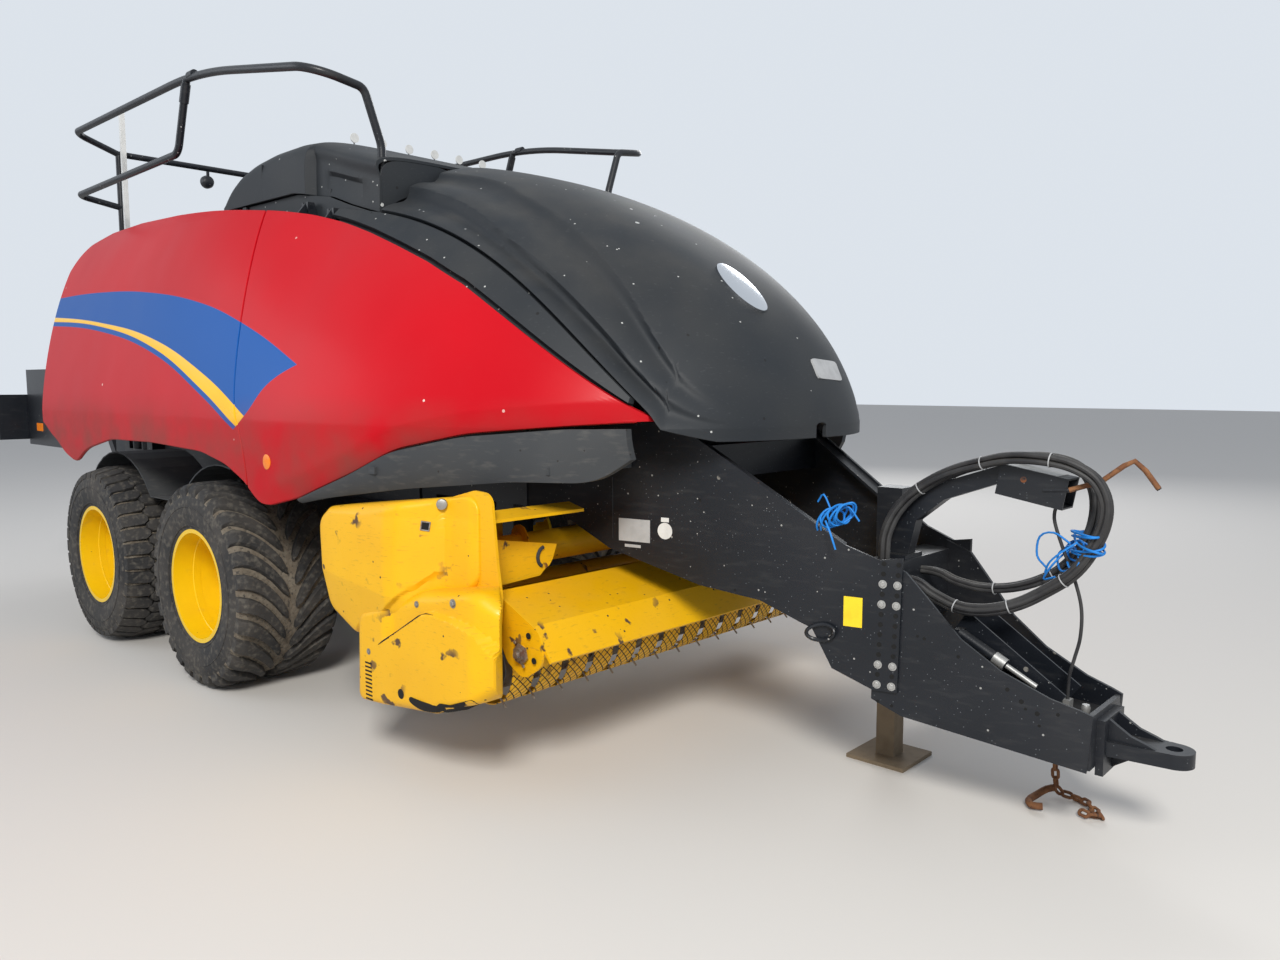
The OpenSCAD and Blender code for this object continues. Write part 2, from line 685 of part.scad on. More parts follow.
// Tongue with its eye, bolted to the front of the drawbar.
tongue_t = 50;
flange_t = 26;
flange_x = 3786;
eye_x = tow_tip_x - 62;
module tow_hitch() {
    color(frame_black)
        difference() {
            union() {
                box([flange_x, -105, 262], [flange_x + flange_t, 105, 452]);
                plate_xy([[flange_x + flange_t, -82], [eye_x, -62], [eye_x, 62], [flange_x + flange_t, 82]],
                    tow_z - tongue_t / 2, tongue_t);
                translate([eye_x, 0, tow_z - tongue_t / 2])
                    cylinder(r = 62, h = tongue_t, $fn = 64);
                for (y = [-60, 44])
                    plate_xz([[flange_x + flange_t, 376], [flange_x + flange_t, 448], [3842, 428], [3880, 404], [3930, 388], [3960, 376]], y, 16);
                plate_xz([[flange_x + flange_t, 328], [flange_x + flange_t, 268], [3900, 328]], -8, 16);
            }
            translate([eye_x, 0, tow_z - 60])
                cylinder(r = tow_hole_r, h = 120, $fn = 64);
        }
}

// Plain block for the main gearbox and the flywheel, which are closed in.
module gearbox_block() {
    color(steel_grey) {
        box([1150, -330, 1150], [1850, 330, 1850]);
        box([640, -250, 1250], [1150, 250, 1650]);
        bar_x(0, 1420, 380, 1850, 1990, 96);
        box([1190, -rail_y0, 1340], [1270, rail_y0, 1400]);
        plate_xy(taper_box(1700, 1760, plate_t), 1330, 60);
    }
}

// Parking jack: a square tube on the drawbar and the leg that slides in it.
jack_w = 110;
jack_wall = 8;
jack_clear = 6;
jack_y = 190;
module jack_tube() {
    color(frame_black)
        difference() {
            box([jack_x - jack_w / 2, jack_y - jack_w / 2, 400], [jack_x + jack_w / 2, jack_y + jack_w / 2, 1150]);
            box([jack_x - jack_w / 2 + jack_wall, jack_y - jack_w / 2 + jack_wall, 390],
                [jack_x + jack_w / 2 - jack_wall, jack_y + jack_w / 2 - jack_wall, 1142]);
        }
    color(frame_black)
        box([jack_x + jack_w / 2, jack_y - 70, 660], [2940, jack_y + 70, 880]);
}
jack_travel = 330;
module jack_leg() {
    w = jack_w - 2 * jack_wall - 2 * jack_clear;
    pad = jack_w - 2 * jack_wall - 2 * fit_gap;
    color(steel_grey) {
        box([jack_x - w / 2, jack_y - w / 2, 16], [jack_x + w / 2, jack_y + w / 2, 1100 - jack_travel]);
        // Slide pad near the top of the leg
        box([jack_x - pad / 2, jack_y - pad / 2, 1030 - jack_travel], [jack_x + pad / 2, jack_y + pad / 2, 1090 - jack_travel]);
        box([jack_x - 130, jack_y - 130, 0], [jack_x + 130, jack_y + 130, 16]);
    }
}

// Beam across the front axle, with its spindles.
axle_w = 120;
rear_axle_x = axle_x - axle_gap;
// Place of the wheel disc, measured outwards from the middle of the tyre.
disc_at = -44;
spindle_end_y = track / 2 + disc_at - 35;
module front_axle() {
    color(frame_black) {
        box([axle_x - axle_w / 2, -860, tyre_r - axle_w / 2], [axle_x + axle_w / 2, 860, tyre_r + axle_w / 2]);
        for (side = [-1, 1])
            on_side(side)
                bar_y(axle_x, tyre_r, spindle_r, -spindle_end_y, -860);
    }
}

// The rear axle carries a fork and kingpin at each end, where the wheels steer by themselves.
kingpin_y = 780;
kingpin_r = 25;
fork_t = 30;
fork_h = 170;
knuckle_gap = 6;
module rear_axle() {
    color(frame_black)
        difference() {
            union() {
                box([rear_axle_x - axle_w / 2, -690, tyre_r - axle_w / 2], [rear_axle_x + axle_w / 2, 690, tyre_r + axle_w / 2]);
                for (side = [-1, 1], end = [-1, 1])
                    on_side(side)
                        box([rear_axle_x - 60, -kingpin_y - 50, tyre_r + end * (fork_h / 2 - fork_t / 2) - fork_t / 2],
                            [rear_axle_x + 60, -640, tyre_r + end * (fork_h / 2 - fork_t / 2) + fork_t / 2]);
            }
            for (y = [-kingpin_y, kingpin_y])
                bar_z(rear_axle_x, y, kingpin_r + fit_gap, tyre_r - 200, tyre_r + 200, 48);
        }
}
arm_x = -190;
module knuckle(side) {
    h = fork_h / 2 - fork_t - knuckle_gap;
    color(steel_grey) on_side(side) {
        box([rear_axle_x - 45, -kingpin_y - 60, tyre_r - h], [rear_axle_x + 45, -kingpin_y + 45, tyre_r + h]);
        bar_z(rear_axle_x, -kingpin_y, kingpin_r, tyre_r - fork_h / 2 - 10, tyre_r + fork_h / 2 + 10, 48);
        bar_y(rear_axle_x, tyre_r, spindle_r, -spindle_end_y, -kingpin_y - 60);
        difference() {
            box([rear_axle_x + arm_x - 30, -kingpin_y - 30, tyre_r - 15], [rear_axle_x - 40, -kingpin_y + 30, tyre_r + 15]);
            bar_z(rear_axle_x + arm_x, -kingpin_y, 12 + fit_gap, tyre_r - 60, tyre_r + 60);
        }
    }
}
module tie_rod() {
    color(steel_grey)
        for (side = [-1, 1])
            on_side(side) {
                bar_z(rear_axle_x + arm_x, -kingpin_y, 12, tyre_r - 22, tyre_r + 40);
                box([rear_axle_x + arm_x - 20, -kingpin_y - 25, tyre_r + 21], [rear_axle_x + arm_x + 20, 1, tyre_r + 45]);
            }
}

// Leaf springs: each leaf is an arc about one centre, and the packs hang from the rails.
spring_y = 550;
spring_w = 80;
leaf_t = 14;
spring_arc_r = 1500;
// Half of the angle that each leaf spans, the longest first.
leaf_angles = [20, 16, 12, 8];
spring_h = len(leaf_angles) * leaf_t;
module leaf_springs() {
    function arc(r, from, to, n) = [for (k = [0:n]) let (w = from + (to - from) * k / n) [r * sin(w), -r * cos(w)]];
    steps = concat(
        arc(spring_arc_r, -leaf_angles[0], leaf_angles[0], 20),
        [for (i = [0:3]) each arc(spring_arc_r + (i + 1) * leaf_t, leaf_angles[i], i < 3 ? leaf_angles[i + 1] : 0, 4)],
        [for (i = [3:-1:0]) each arc(spring_arc_r + (i + 1) * leaf_t, i < 3 ? -leaf_angles[i + 1] : -1, -leaf_angles[i], 4)]);
    color(frame_black)
        for (side = [-1, 1], x = [axle_x, rear_axle_x])
            on_side(side) {
                z0 = tyre_r + axle_w / 2 + spring_h;
                translate([x, 0, z0 + spring_arc_r])
                    plate_xz(steps, -spring_y - spring_w / 2, spring_w);
                box([x - 60, -spring_y - spring_w / 2, tyre_r + axle_w / 2], [x + 60, -spring_y + spring_w / 2, tyre_r + axle_w / 2 + 12]);
                for (end = [-1, 1])
                    box([x + end * 470 - 30, -spring_y - spring_w / 2, z0 + 60], [x + end * 470 + 30, -spring_y + spring_w / 2, rail_z]);
            }
}

// A tyre and its wheel on one spindle.
bead_r = rim_r - 12;
lug_h = 30;
lug_count = 22;
// Share of the lug height on each of the three columns of a lug.
lug_columns = [1, 1, 0];
// Half of the tyre's section: each row is [distance from the middle, radius over the lugs, depth of the groove, turn of the lug].
tyre_rows = [
    [tyre_w / 2 - 30, bead_r, 0, 24], [tyre_w / 2, bead_r + 105, 0, 24], [tyre_w / 2 - 14, tyre_r - 75, lug_h * 0.4, 24],
    [tyre_w / 2 - 60, tyre_r - 12, lug_h, 23], [tyre_w / 4, tyre_r, lug_h, 17], [0, tyre_r, lug_h, 0]
];
module on_wheel(x, side) {
    translate([x, side * track / 2, tyre_r])
        rotate([-side * 90, 0, 0])
            children();
}
module tyre(x, side) {
    half = len(tyre_rows);
    rows = concat([for (row = tyre_rows) [-row[0], row[1], row[2], row[3]]],
        [for (i = [half - 2:-1:0]) tyre_rows[i]]);
    m = len(rows);
    per_lug = len(lug_columns);
    n = lug_count * per_lug;
    points = [for (row = rows) for (k = [0:n - 1])
        let (r = row[1] - row[2] * (1 - lug_columns[k % per_lug]), w = 90 + 360 * k / n - side * row[3])
        [r * cos(w), r * sin(w), row[0]]];
    faces = [for (i = [0:m - 1], k = [0:n - 1])
        let (a = i * n + k, b = i * n + (k + 1) % n, c = (i + 1) % m * n + (k + 1) % n, d = (i + 1) % m * n + k)
        each [[a, c, b], [a, d, c]]];
    color(rubber_black)
        on_wheel(x, side)
            polyhedron(points = points, faces = faces, convexity = 10);
}
rim_t = 12;
rim_half = tyre_w / 2 - 24;
hub_r = 95;
hub_in = 190;
module rim(x, side) {
    color(rim_yellow)
        on_wheel(x, side)
            difference() {
                union() {
                    rotate_extrude($fn = 96)
                        polygon([
                            [bead_r - rim_t, -rim_half], [rim_r, -rim_half], [rim_r, -rim_half + 5], [bead_r, -rim_half + 8],
                            [bead_r, rim_half - 8], [rim_r, rim_half - 5], [rim_r, rim_half], [bead_r - rim_t, rim_half],
                            [bead_r - rim_t, disc_at + 14], [0, disc_at + 14], [0, disc_at], [bead_r - rim_t, disc_at]]);
                    translate([0, 0, disc_at - hub_in])
                        cylinder(r = hub_r, h = hub_in, $fn = 64);
                    translate([0, 0, disc_at])
                        cylinder(r = 78, h = 70, $fn = 64);
                }
                translate([0, 0, disc_at - hub_in - 10])
                    cylinder(r = spindle_r + fit_gap, h = hub_in - 20, $fn = 64);
            }
}

// Mudguards follow the tyres and dip between them.
guard_r = 620;
guard_t = 8;
guard_y0 = 850;
guard_y1 = 1220;
// Struts that carry a mudguard: x, height of the foot, distance of the inner end from the middle
struts = [[-2120, 840, frame_y], [-900, 885, frame_y], [-120, 1112, chamber_y]];
function guard_arc(x, r, from, to, n) =
    [for (i = [0:n]) let (w = from + (to - from) * i / n) [x + r * cos(w), tyre_r + r * sin(w)]];
function guard_line(r) = concat(
    guard_arc(rear_axle_x, r, 165, 38, 12), guard_arc(axle_x, r, 142, 78, 8));
module mudguards() {
    outer = guard_line(guard_r);
    inner = guard_line(guard_r - guard_t);
    color(guard_grey)
        for (side = [-1, 1])
            on_side(side) {
                plate_xz(concat(outer, [for (i = [len(inner) - 1:-1:0]) inner[i]]), -guard_y1, guard_y1 - guard_y0);
                for (row = struts)
                    box([row[0] - 25, -guard_y0 - 60, row[1]], [row[0] + 25, -row[2], row[1] + 30]);
            }
}

// The arm that holds the hoses, and its steel end box.
arm_h = 60;
module hose_arm() {
    color(frame_black) {
        plate_xz([[2945, 900], [2950, 1000], [3010, 1090], [3150, 1195], [3408, 1285], [3412, 1222], [3190, 1140], [3080, 1050], [3045, 900]],
            -arm_h / 2, arm_h);
        box([2942, -70, 900], [3060, 70, 916]);
    }
    color(steel_grey) {
        translate([3400, 0, 1232])
            rotate([0, 10, 0])
                difference() {
                    box([0, -55, -52], [238, 55, 58]);
                    box([12, -49, -46], [250, 49, 52]);
                }
        pipe([[3560, -52, 1205], [3640, -50, 1210], [3737, -20, 1244], [3800, 5, 1300], [3828, 20, 1316], [3860, 30, 1285], [3902, 40, 1224]], 8, 12);
    }
}

// Channel that cradles the drive shaft on the drawbar, with the ram beside it.
module shaft_cradle() {
    color(frame_black) {
        translate([3262, 0, 660])
            rotate([0, 34, 0]) {
                box([0, -80, 0], [430, 80, 8]);
                box([0, -80, 0], [430, -72, 100]);
                box([0, 72, 0], [430, 80, 100]);
            }
        box([3540, -40, 417], [3580, 40, 460]);
        box([3280, -40, 417], [3320, 40, 632]);
    }
}

// Lamp boards at the rear corners, on brackets from the bale chamber.
module rear_lights() {
    color(guard_grey)
        for (side = [-1, 1])
            on_side(side) {
                box([-3330, -1205, 1130], [-2650, -1197, 1670]);
                box([-3390, -1390, 1165], [-3345, -1130, 1490]);
                box([-3345, -1205, 1290], [-3330, -1160, 1360]);
                box([-3300, -1197, 1380], [-3250, -chamber_y, 1430]);
            }
}

// The pickup hangs on two arms from the chassis and carries its side plates on a cross tube.
side_y = pickup_w / 2;
side_t = 12;
tube_x = 1300;
tube_z = 620;
tube_r = 60;
reel_x = 1800;
reel_z = 470;
auger_x = 1560;
auger_z = 850;
auger_r = 110;
stub_end_y = side_y + side_t - 6;
side_outline = [
    [1240, 560, 20], [1200, 700, 40], [1230, 1010, 60], [1860, 1170, 20], [1960, 1165, 50], [1990, 900, 60],
    [2010, 780, 60], [1990, 560, 60], [1880, 390, 60], [1500, 380, 60]
];
stripper_r = 165;
stripper_t = 4;
tine_gap = 40;
function stripper_arc(r) = [for (w = [-100:14:96]) [reel_x + r * cos(w), reel_z + r * sin(w)]];
stripper_outline = concat(stripper_arc(stripper_r), [[1588, 606], [1588, 594]],
    [for (i = [14:-1:0]) stripper_arc(stripper_r - stripper_t)[i]]);
module pickup_frame() {
    color(pickup_yellow) {
        difference() {
            union() {
                for (side = [-1, 1])
                    on_side(side) {
                        plate_xz(rounded(side_outline), -side_y - side_t, side_t);
                        // Arm to the pivot on the chassis
                        plate_xz([[pivot_x - 45, pivot_z - 45], [tube_x - 20, tube_z - 62], [tube_x + 20, tube_z + 62], [pivot_x - 45, pivot_z + 45]],
                            -frame_y - 40, 34);
                        bar_y(pivot_x, pivot_z, pivot_r, -frame_y - 30, -frame_y + 70);
                        // Wing sheet over the end of the auger
                        plate_xz([[1420, 985], [1860, 1085], [1950, 1063], [1950, 1051], [1858, 1072], [1432, 976]], -side_y, 480);
                        plate_xz([[1420, 600], [1432, 600], [1432, 985], [1420, 985]], -side_y, 480);
                    }
                bar_y(tube_x, tube_z, tube_r, -side_y, side_y, 64);
                // Strippers: bent strips round the front of the reel, with the tines in the gaps between them
                for (k = [0:tine_count - 1])
                    plate_xz(stripper_outline, -side_y + 60 + tine_gap / 2 + k * tine_pitch, tine_pitch - tine_gap);
                // Floor behind the reel
                plate_xz([[1340, 640], [1480, 600], [1600, 606], [1600, 594], [1480, 588], [1340, 628]], -side_y, pickup_w);
            }
            for (row = [[auger_x, auger_z, 25], [reel_x, reel_z, 25]])
                bar_y(row[0], row[1], row[2] + fit_gap, -side_y - 40, side_y + 40);
            for (side = [-1, 1])
                bar_y(guard_x, guard_z, 15 + fit_gap, side * side_y - 30, side * side_y + 30);
        }
    }
}

// Moulded covers at both ends of the pickup.
upper_outline = [
    [1030, 1010, 60], [1100, 1062, 30], [1860, 1152, 60], [1890, 1100, 40], [1890, 830, 80], [1780, 700, 80],
    [1330, 600, 40], [1230, 530, 30], [1050, 620, 60]
];
lower_outline = [
    [1300, 640, 60], [1290, 275, 30], [1450, 285, 60], [1800, 325, 80], [2080, 430, 90], [2240, 540, 90],
    [2220, 720, 100], [2040, 830, 120], [1700, 780, 60]
];
// Seen from above, both covers turn in towards the side plate at their front ends.
upper_y = body_w / 2;
lower_y = body_w / 2 - 15;
cover_root_y = side_y + side_t;
upper_plan = [
    [1000, -upper_y], [1535, -upper_y], [1600, -upper_y + 15], [1710, -upper_y + 135], [1900, -cover_root_y - 12],
    [1900, -cover_root_y], [1000, -cover_root_y]
];
lower_plan = [
    [1260, -lower_y], [2090, -lower_y], [2150, -lower_y + 35], [2130, -lower_y + 95], [2000, -cover_root_y],
    [1260, -cover_root_y]
];
module pickup_shields() {
    color(pickup_yellow)
        for (side = [-1, 1])
            on_side(side) {
                intersection() {
                    plate_xz(rounded(upper_outline), -upper_y, upper_y - cover_root_y);
                    plate_xy(upper_plan, 400, 900);
                }
                intersection() {
                    plate_xz(rounded(lower_outline), -lower_y, lower_y - cover_root_y);
                    plate_xy(lower_plan, 200, 800);
                }
            }
}

flight_t = 6;
flight_pitch = 190;
flight_turns = 2.5;
flight_steps = 40;
// A screw flight round the auger's tube: four points at each step, two on the tube and two on the rim.
module flight(y0, hand) {
    core = auger_r - 44;
    points = [for (i = [0:flight_steps])
        let (w = hand * 360 * flight_turns * i / flight_steps, y = y0 + flight_pitch * flight_turns * i / flight_steps)
        each [for (q = [[core, 0], [auger_r, 0], [auger_r, flight_t], [core, flight_t]])
            [auger_x + q[0] * cos(w), y + q[1], auger_z + q[0] * sin(w)]]];
    sides = [for (i = [0:flight_steps - 1], k = [0:3]) each [
        [4 * i + k, 4 * i + 4 + (k + 1) % 4, 4 * i + (k + 1) % 4],
        [4 * i + k, 4 * i + 4 + k, 4 * i + 4 + (k + 1) % 4]]];
    last = 4 * flight_steps;
    ends = [[0, 1, 2], [0, 2, 3], [last, last + 2, last + 1], [last, last + 3, last + 2]];
    polyhedron(points = points, faces = concat(sides, ends), convexity = 8);
}
module feed_auger() {
    color(pickup_yellow) {
        bar_y(auger_x, auger_z, auger_r - 40, -side_y + 8, side_y - 8);
        for (side = [-1, 1])
            on_side(side) {
                bar_y(auger_x, auger_z, 25, -stub_end_y, -side_y + 8);
                flight(-side_y + 40, 1);
            }
    }
}

// Reel: a drum with four rows of tines that reach out between the strippers.
drum_r = 110;
tine_r = 4;
tine_rows = 4;
tine_count = 15;
tine_pitch = (pickup_w - 120) / tine_count;
module pickup_reel() {
    color(pickup_yellow) {
        bar_y(reel_x, reel_z, drum_r, -side_y + 8, side_y - 8, 64);
        for (side = [-1, 1])
            on_side(side)
                bar_y(reel_x, reel_z, 25, -stub_end_y, -side_y + 8);
        for (row = [0:tine_rows - 1], k = [0:tine_count])
            translate([reel_x, -side_y + 60 + k * tine_pitch, reel_z])
                rotate([0, 360 * (row + 0.5) / tine_rows, 0])
                    cylinder(r = tine_r, h = reel_r, $fn = 12);
    }
}

// Wind guard: two arms, a folded sheet and the roller behind it.
guard_x = 1790;
guard_z = 820;
roller_x = 2070;
roller_z = 590;
guard_side_y = side_y - 40;
arm_outline = [[1750, 830, 20], [1800, 870, 20], [1850, 810, 30], [2170, 660, 70], [2180, 540, 70], [2070, 470, 60], [1980, 520, 60], [1900, 660, 30]];
module wind_guard() {
    color(pickup_yellow)
        difference() {
            union() {
                for (side = [-1, 1])
                    on_side(side) {
                        plate_xz(rounded(arm_outline), -guard_side_y, 10);
                        bar_y(guard_x, guard_z, 15, -stub_end_y, -guard_side_y);
                    }
                plate_xz([[1870, 770], [2120, 680], [2215, 560], [2207, 552], [2114, 668], [1866, 760]], -guard_side_y + 10, 2 * guard_side_y - 20);
            }
            bar_y(roller_x, roller_z, 12 + fit_gap, -side_y, side_y);
        }
}
module crop_roller() {
    color(pickup_yellow) {
        bar_y(roller_x, roller_z, roller_r, -guard_side_y + 16, guard_side_y - 16);
        for (side = [-1, 1])
            on_side(side)
                bar_y(roller_x, roller_z, 12, -guard_side_y - 4, -guard_side_y + 16);
    }
}

// The bale chute hangs folded up behind the chamber.
chute_x = chamber_end_x - 50;
chute_z = 960;
chute_y = 560;
chute_lean = 38;
chute_back = 60;
chute_len = (tow_tip_x + chute_x - chute_back * cos(chute_lean)) / sin(chute_lean);
module bale_chute() {
    color(frame_black)
        translate([chute_x, 0, chute_z])
            rotate([0, -chute_lean, 0]) {
                for (side = [-1, 1])
                    on_side(side) {
                        plate_xz([[-20, -25], [10, -25], [10, chute_len - 40], [-20, chute_len], [-chute_back, chute_len], [-chute_back, 60]],
                            -chute_y, 40);
                        bar_y(0, 0, 15, -chamber_y - 20, -chute_y, 32);
                    }
                for (k = [0:5])
                    bar_y(-28, 90 + k * 148, 28, -chute_y + 40, chute_y - 40, 32);
            }
}

// Hoses hang in loops from the end of the arm: the points of each route.
upper_route = [
    [2990, -105, 900.1], [2990, -105, 940], [2992, -96, 1000], [3020, -80, 1080], [3080, -66, 1155], [3160, -62, 1212], [3250, -64, 1256], [3350, -68, 1288], [3450, -90, 1312], [3560, -96, 1316], [3660, -90, 1300],
    [3735, -75, 1255], [3770, -62, 1180], [3765, -60, 1095], [3725, -60, 1000], [3672, -60, 925], [3595, -60, 862], [3500, -78, 800],
    [3400, -100, 765], [3300, -112, 760], [3200, -114, 792], [3150, -118, 822], [3110, -120, 832], [3070.1, -120, 832]
];
lower_route = [
    [2990, 105, 900.1], [2990, 105, 940], [2992, 96, 1000], [3020, 80, 1085], [3080, 66, 1162], [3160, 62, 1218], [3250, 64, 1258], [3350, 68, 1288], [3450, 88, 1308], [3550, 92, 1306], [3630, 88, 1280],
    [3680, 70, 1225], [3700, 56, 1150], [3690, 46, 1060], [3650, 40, 980], [3590, 36, 910], [3510, 32, 860], [3420, 28, 828],
    [3320, 28, 815], [3220, 34, 825], [3160, 48, 842], [3110, 56, 848], [3070.1, 56, 848]
];
cable_route = [
    [3587.9, 0, 1146], [3582.7, 0, 1116.5], [3588, 0, 1080], [3616, 2, 1000], [3658, 2, 900], [3686, 2, 800],
    [3688, 0, 700], [3672, 0, 620], [3658, 0, 560], [3655, 0, 500], [3655, 0, 417.1]
];
module hose_loop_upper() {
    color(hose_black) pipe(upper_route, 24, 10);
}
module hose_loop_lower() {
    color(hose_black) pipe(lower_route, 20, 10);
}
module control_cable() {
    color(hose_black) pipe(cable_route, 6, 8);
}

chassis_rails();
bale_chamber();
frame_plates();
drawbar();
tow_hitch();
gearbox_block();
roof_bands();
skirts();
knotter_cover();
platform();
guard_rails();
indicator_mast();
rear_lights();
mudguards();
front_axle();
rear_axle();
leaf_springs();
jack_tube();
hose_arm();
shaft_cradle();
twine_indicators();
density_frame();
knuckle(-1);  // knuckle_right
knuckle(1);  // knuckle_left
tie_rod();
tyre(axle_x, -1);  // tyre_front_right
rim(axle_x, -1);  // rim_front_right
tyre(axle_x, 1);  // tyre_front_left
rim(axle_x, 1);  // rim_front_left
tyre(rear_axle_x, -1);  // tyre_rear_right
rim(rear_axle_x, -1);  // rim_rear_right
tyre(rear_axle_x, 1);  // tyre_rear_left
rim(rear_axle_x, 1);  // rim_rear_left
hood();
panel_front(-1);  // panel_front_right
panel_front(1);  // panel_front_left
panel_rear(-1);  // panel_rear_right
panel_rear(1);  // panel_rear_left
pickup_frame();
pickup_shields();
feed_auger();
pickup_reel();
wind_guard();
crop_roller();
jack_leg();
bale_chute();
hose_loop_upper();
hose_loop_lower();
control_cable();
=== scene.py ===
"""Looks of a large square baler: finishes, tyre treads, mouldings, hoses and small fittings.

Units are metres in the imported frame: X forwards to the tow eye, Y to the left of travel, Z up.
Sections follow the machine as it is put together, and right-hand shapes are mirrored to the left.
"""
import math

import bmesh
import bpy
import numpy as np
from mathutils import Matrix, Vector
from mathutils.bvhtree import BVHTree


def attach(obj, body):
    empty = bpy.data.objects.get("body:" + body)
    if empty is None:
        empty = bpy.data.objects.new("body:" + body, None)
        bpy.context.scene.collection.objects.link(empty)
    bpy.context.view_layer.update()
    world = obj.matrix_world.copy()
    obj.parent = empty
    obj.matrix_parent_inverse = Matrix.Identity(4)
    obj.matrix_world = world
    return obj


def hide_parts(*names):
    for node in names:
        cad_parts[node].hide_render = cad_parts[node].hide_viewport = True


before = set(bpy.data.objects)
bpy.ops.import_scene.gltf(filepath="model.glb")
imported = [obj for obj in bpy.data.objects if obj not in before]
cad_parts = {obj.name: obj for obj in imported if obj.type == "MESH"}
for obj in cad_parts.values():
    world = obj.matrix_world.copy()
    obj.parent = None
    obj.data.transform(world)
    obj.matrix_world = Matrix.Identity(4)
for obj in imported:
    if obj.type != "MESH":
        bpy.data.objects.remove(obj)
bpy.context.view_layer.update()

# Camera at the photograph's place and angle: it was fitted to the wheels, the drawbar and the outline of the body,
# and has a plain 36 mm frame. Angles are in degrees.
CAMERA_AT = (4.764, -3.462, 1.575)
CAMERA_TURN = 42.19
CAMERA_DOWN = 5.73
LENS = 27.23
camera = bpy.data.objects.new("camera", bpy.data.cameras.new("camera"))
camera.data.lens = LENS
camera.data.sensor_width = 36.0
camera.location = CAMERA_AT
camera.rotation_euler = (math.radians(90 - CAMERA_DOWN), 0, math.radians(CAMERA_TURN))
bpy.context.scene.collection.objects.link(camera)
bpy.context.scene.camera = camera

# Floor: plain pale concrete under the whole machine, one flat sheet that carries the shadow. Like every finish it
# starts as one colour, and layers may change the colour and the roughness over the surface.


class Finish:
    """A procedural material in object coordinates, built up in layers."""

    def __init__(self, name, colour, rough, metal=0.0, coat=0.0, specular=0.4):
        self.material = bpy.data.materials.new(name)
        self.material.use_nodes = True
        self.tree = self.material.node_tree
        self.shader = self.tree.nodes["Principled BSDF"]
        for socket, value in (("Metallic", metal), ("Coat Weight", coat), ("Coat Roughness", 0.16),
                              ("Specular IOR Level", specular)):
            self.shader.inputs[socket].default_value = value
        self.place = self.node("TexCoord").outputs["Object"]
        self.colour = (*colour, 1)
        self.rough = rough

    def wire(self, socket, value):
        """Gives a socket a value or the output of another node."""
        if isinstance(value, bpy.types.NodeSocket):
            self.tree.links.new(value, socket)
        else:
            socket.default_value = value

    def node(self, kind, settings=None, **sockets):
        """Adds a node. Sockets go by name, or by number as i0, i1 and so on."""
        made = self.tree.nodes.new("ShaderNode" + kind)
        for name, value in (settings or {}).items():
            setattr(made, name, value)
        for name, value in sockets.items():
            self.wire(made.inputs[int(name[1:]) if name[1:].isdigit() else name], value)
        return made

    def sum(self, operation, a, b=0.0):
        """One step of arithmetic on the surface."""
        return self.node("Math", {"operation": operation}, i0=a, i1=b).outputs[0]

    def both(self, a, b):
        """The product of two masks, or of a mask and a share."""
        return self.sum("MULTIPLY", a, b)

    def between(self, value, low, high):
        """A mask that goes from 0 at low to 1 at high."""
        return self.node("MapRange", Value=value, **{"From Min": low, "From Max": high}).outputs[0]

    def noise(self, scale, low, high, stretch=(1, 1, 1), detail=3.0):
        """A mask of patches, of the size 1 / scale."""
        at = self.node("Mapping", Vector=self.place, Scale=stretch).outputs[0]
        return self.between(self.node("TexNoise", Vector=at, Scale=scale, Detail=detail).outputs[0], low, high)

    def spots(self, scale, size, share):
        """A mask of small spots: the share of the cells that have one, and their size within a cell."""
        cells = self.node("TexVoronoi", Vector=self.place, Scale=scale)
        draw = self.node("SeparateColor", Color=cells.outputs["Color"]).outputs[0]
        return self.both(self.sum("LESS_THAN", cells.outputs["Distance"], size),
                         self.sum("GREATER_THAN", draw, 1 - share))

    def layer(self, mask, colour, rough=None):
        """Lays another colour over the surface where the mask is."""
        mix = self.node("Mix", {"data_type": "RGBA"}, Factor=mask, i6=self.colour, i7=(*colour, 1))
        self.colour = mix.outputs[2]
        if rough is not None:
            self.rough = self.node("Mix", i0=mask, i2=self.rough, i3=rough).outputs[0]
        return self

    def patches(self, noise, colour, rough=None, share=1.0, within=None):
        """A layer in patches of noise, thinned to a share or kept within other patches."""
        mask = self.noise(*noise)
        if within or share < 1.0:
            mask = self.both(mask, self.noise(*within) if within else share)
        return self.layer(mask, colour, rough)

    def specks(self, spots, colour, rough, noise=None):
        """A layer of spots, which may keep to patches of noise."""
        mask = self.spots(*spots)
        return self.layer(self.both(mask, self.noise(*noise)) if noise else mask, colour, rough)

    def grain(self, depth, *noise, detail=3.0):
        """Relief of that depth from patches of noise."""
        height = self.both(self.noise(*noise, detail=detail), depth)
        self.wire(self.shader.inputs["Normal"], self.node("Bump", Height=height, Distance=1.0).outputs[0])
        return self

    def dusty(self, amount):
        """Dust that has settled on what faces up, and a thin film of it in patches elsewhere."""
        up = self.node("SeparateXYZ", Vector=self.node("NewGeometry").outputs["Normal"]).outputs[2]
        settled = self.both(self.between(up, 0.5, 1.0), self.noise(5.0, 0.35, 0.8))
        return (self.patches((1.6, 0.45, 0.75), DUST, 0.7, amount * 0.35)
                .layer(self.both(settled, amount), DUST, 0.85))

    def done(self):
        """Wires the colour and the roughness to the shader."""
        self.wire(self.shader.inputs["Base Color"], self.colour)
        self.wire(self.shader.inputs["Roughness"], self.rough)
        return self.material


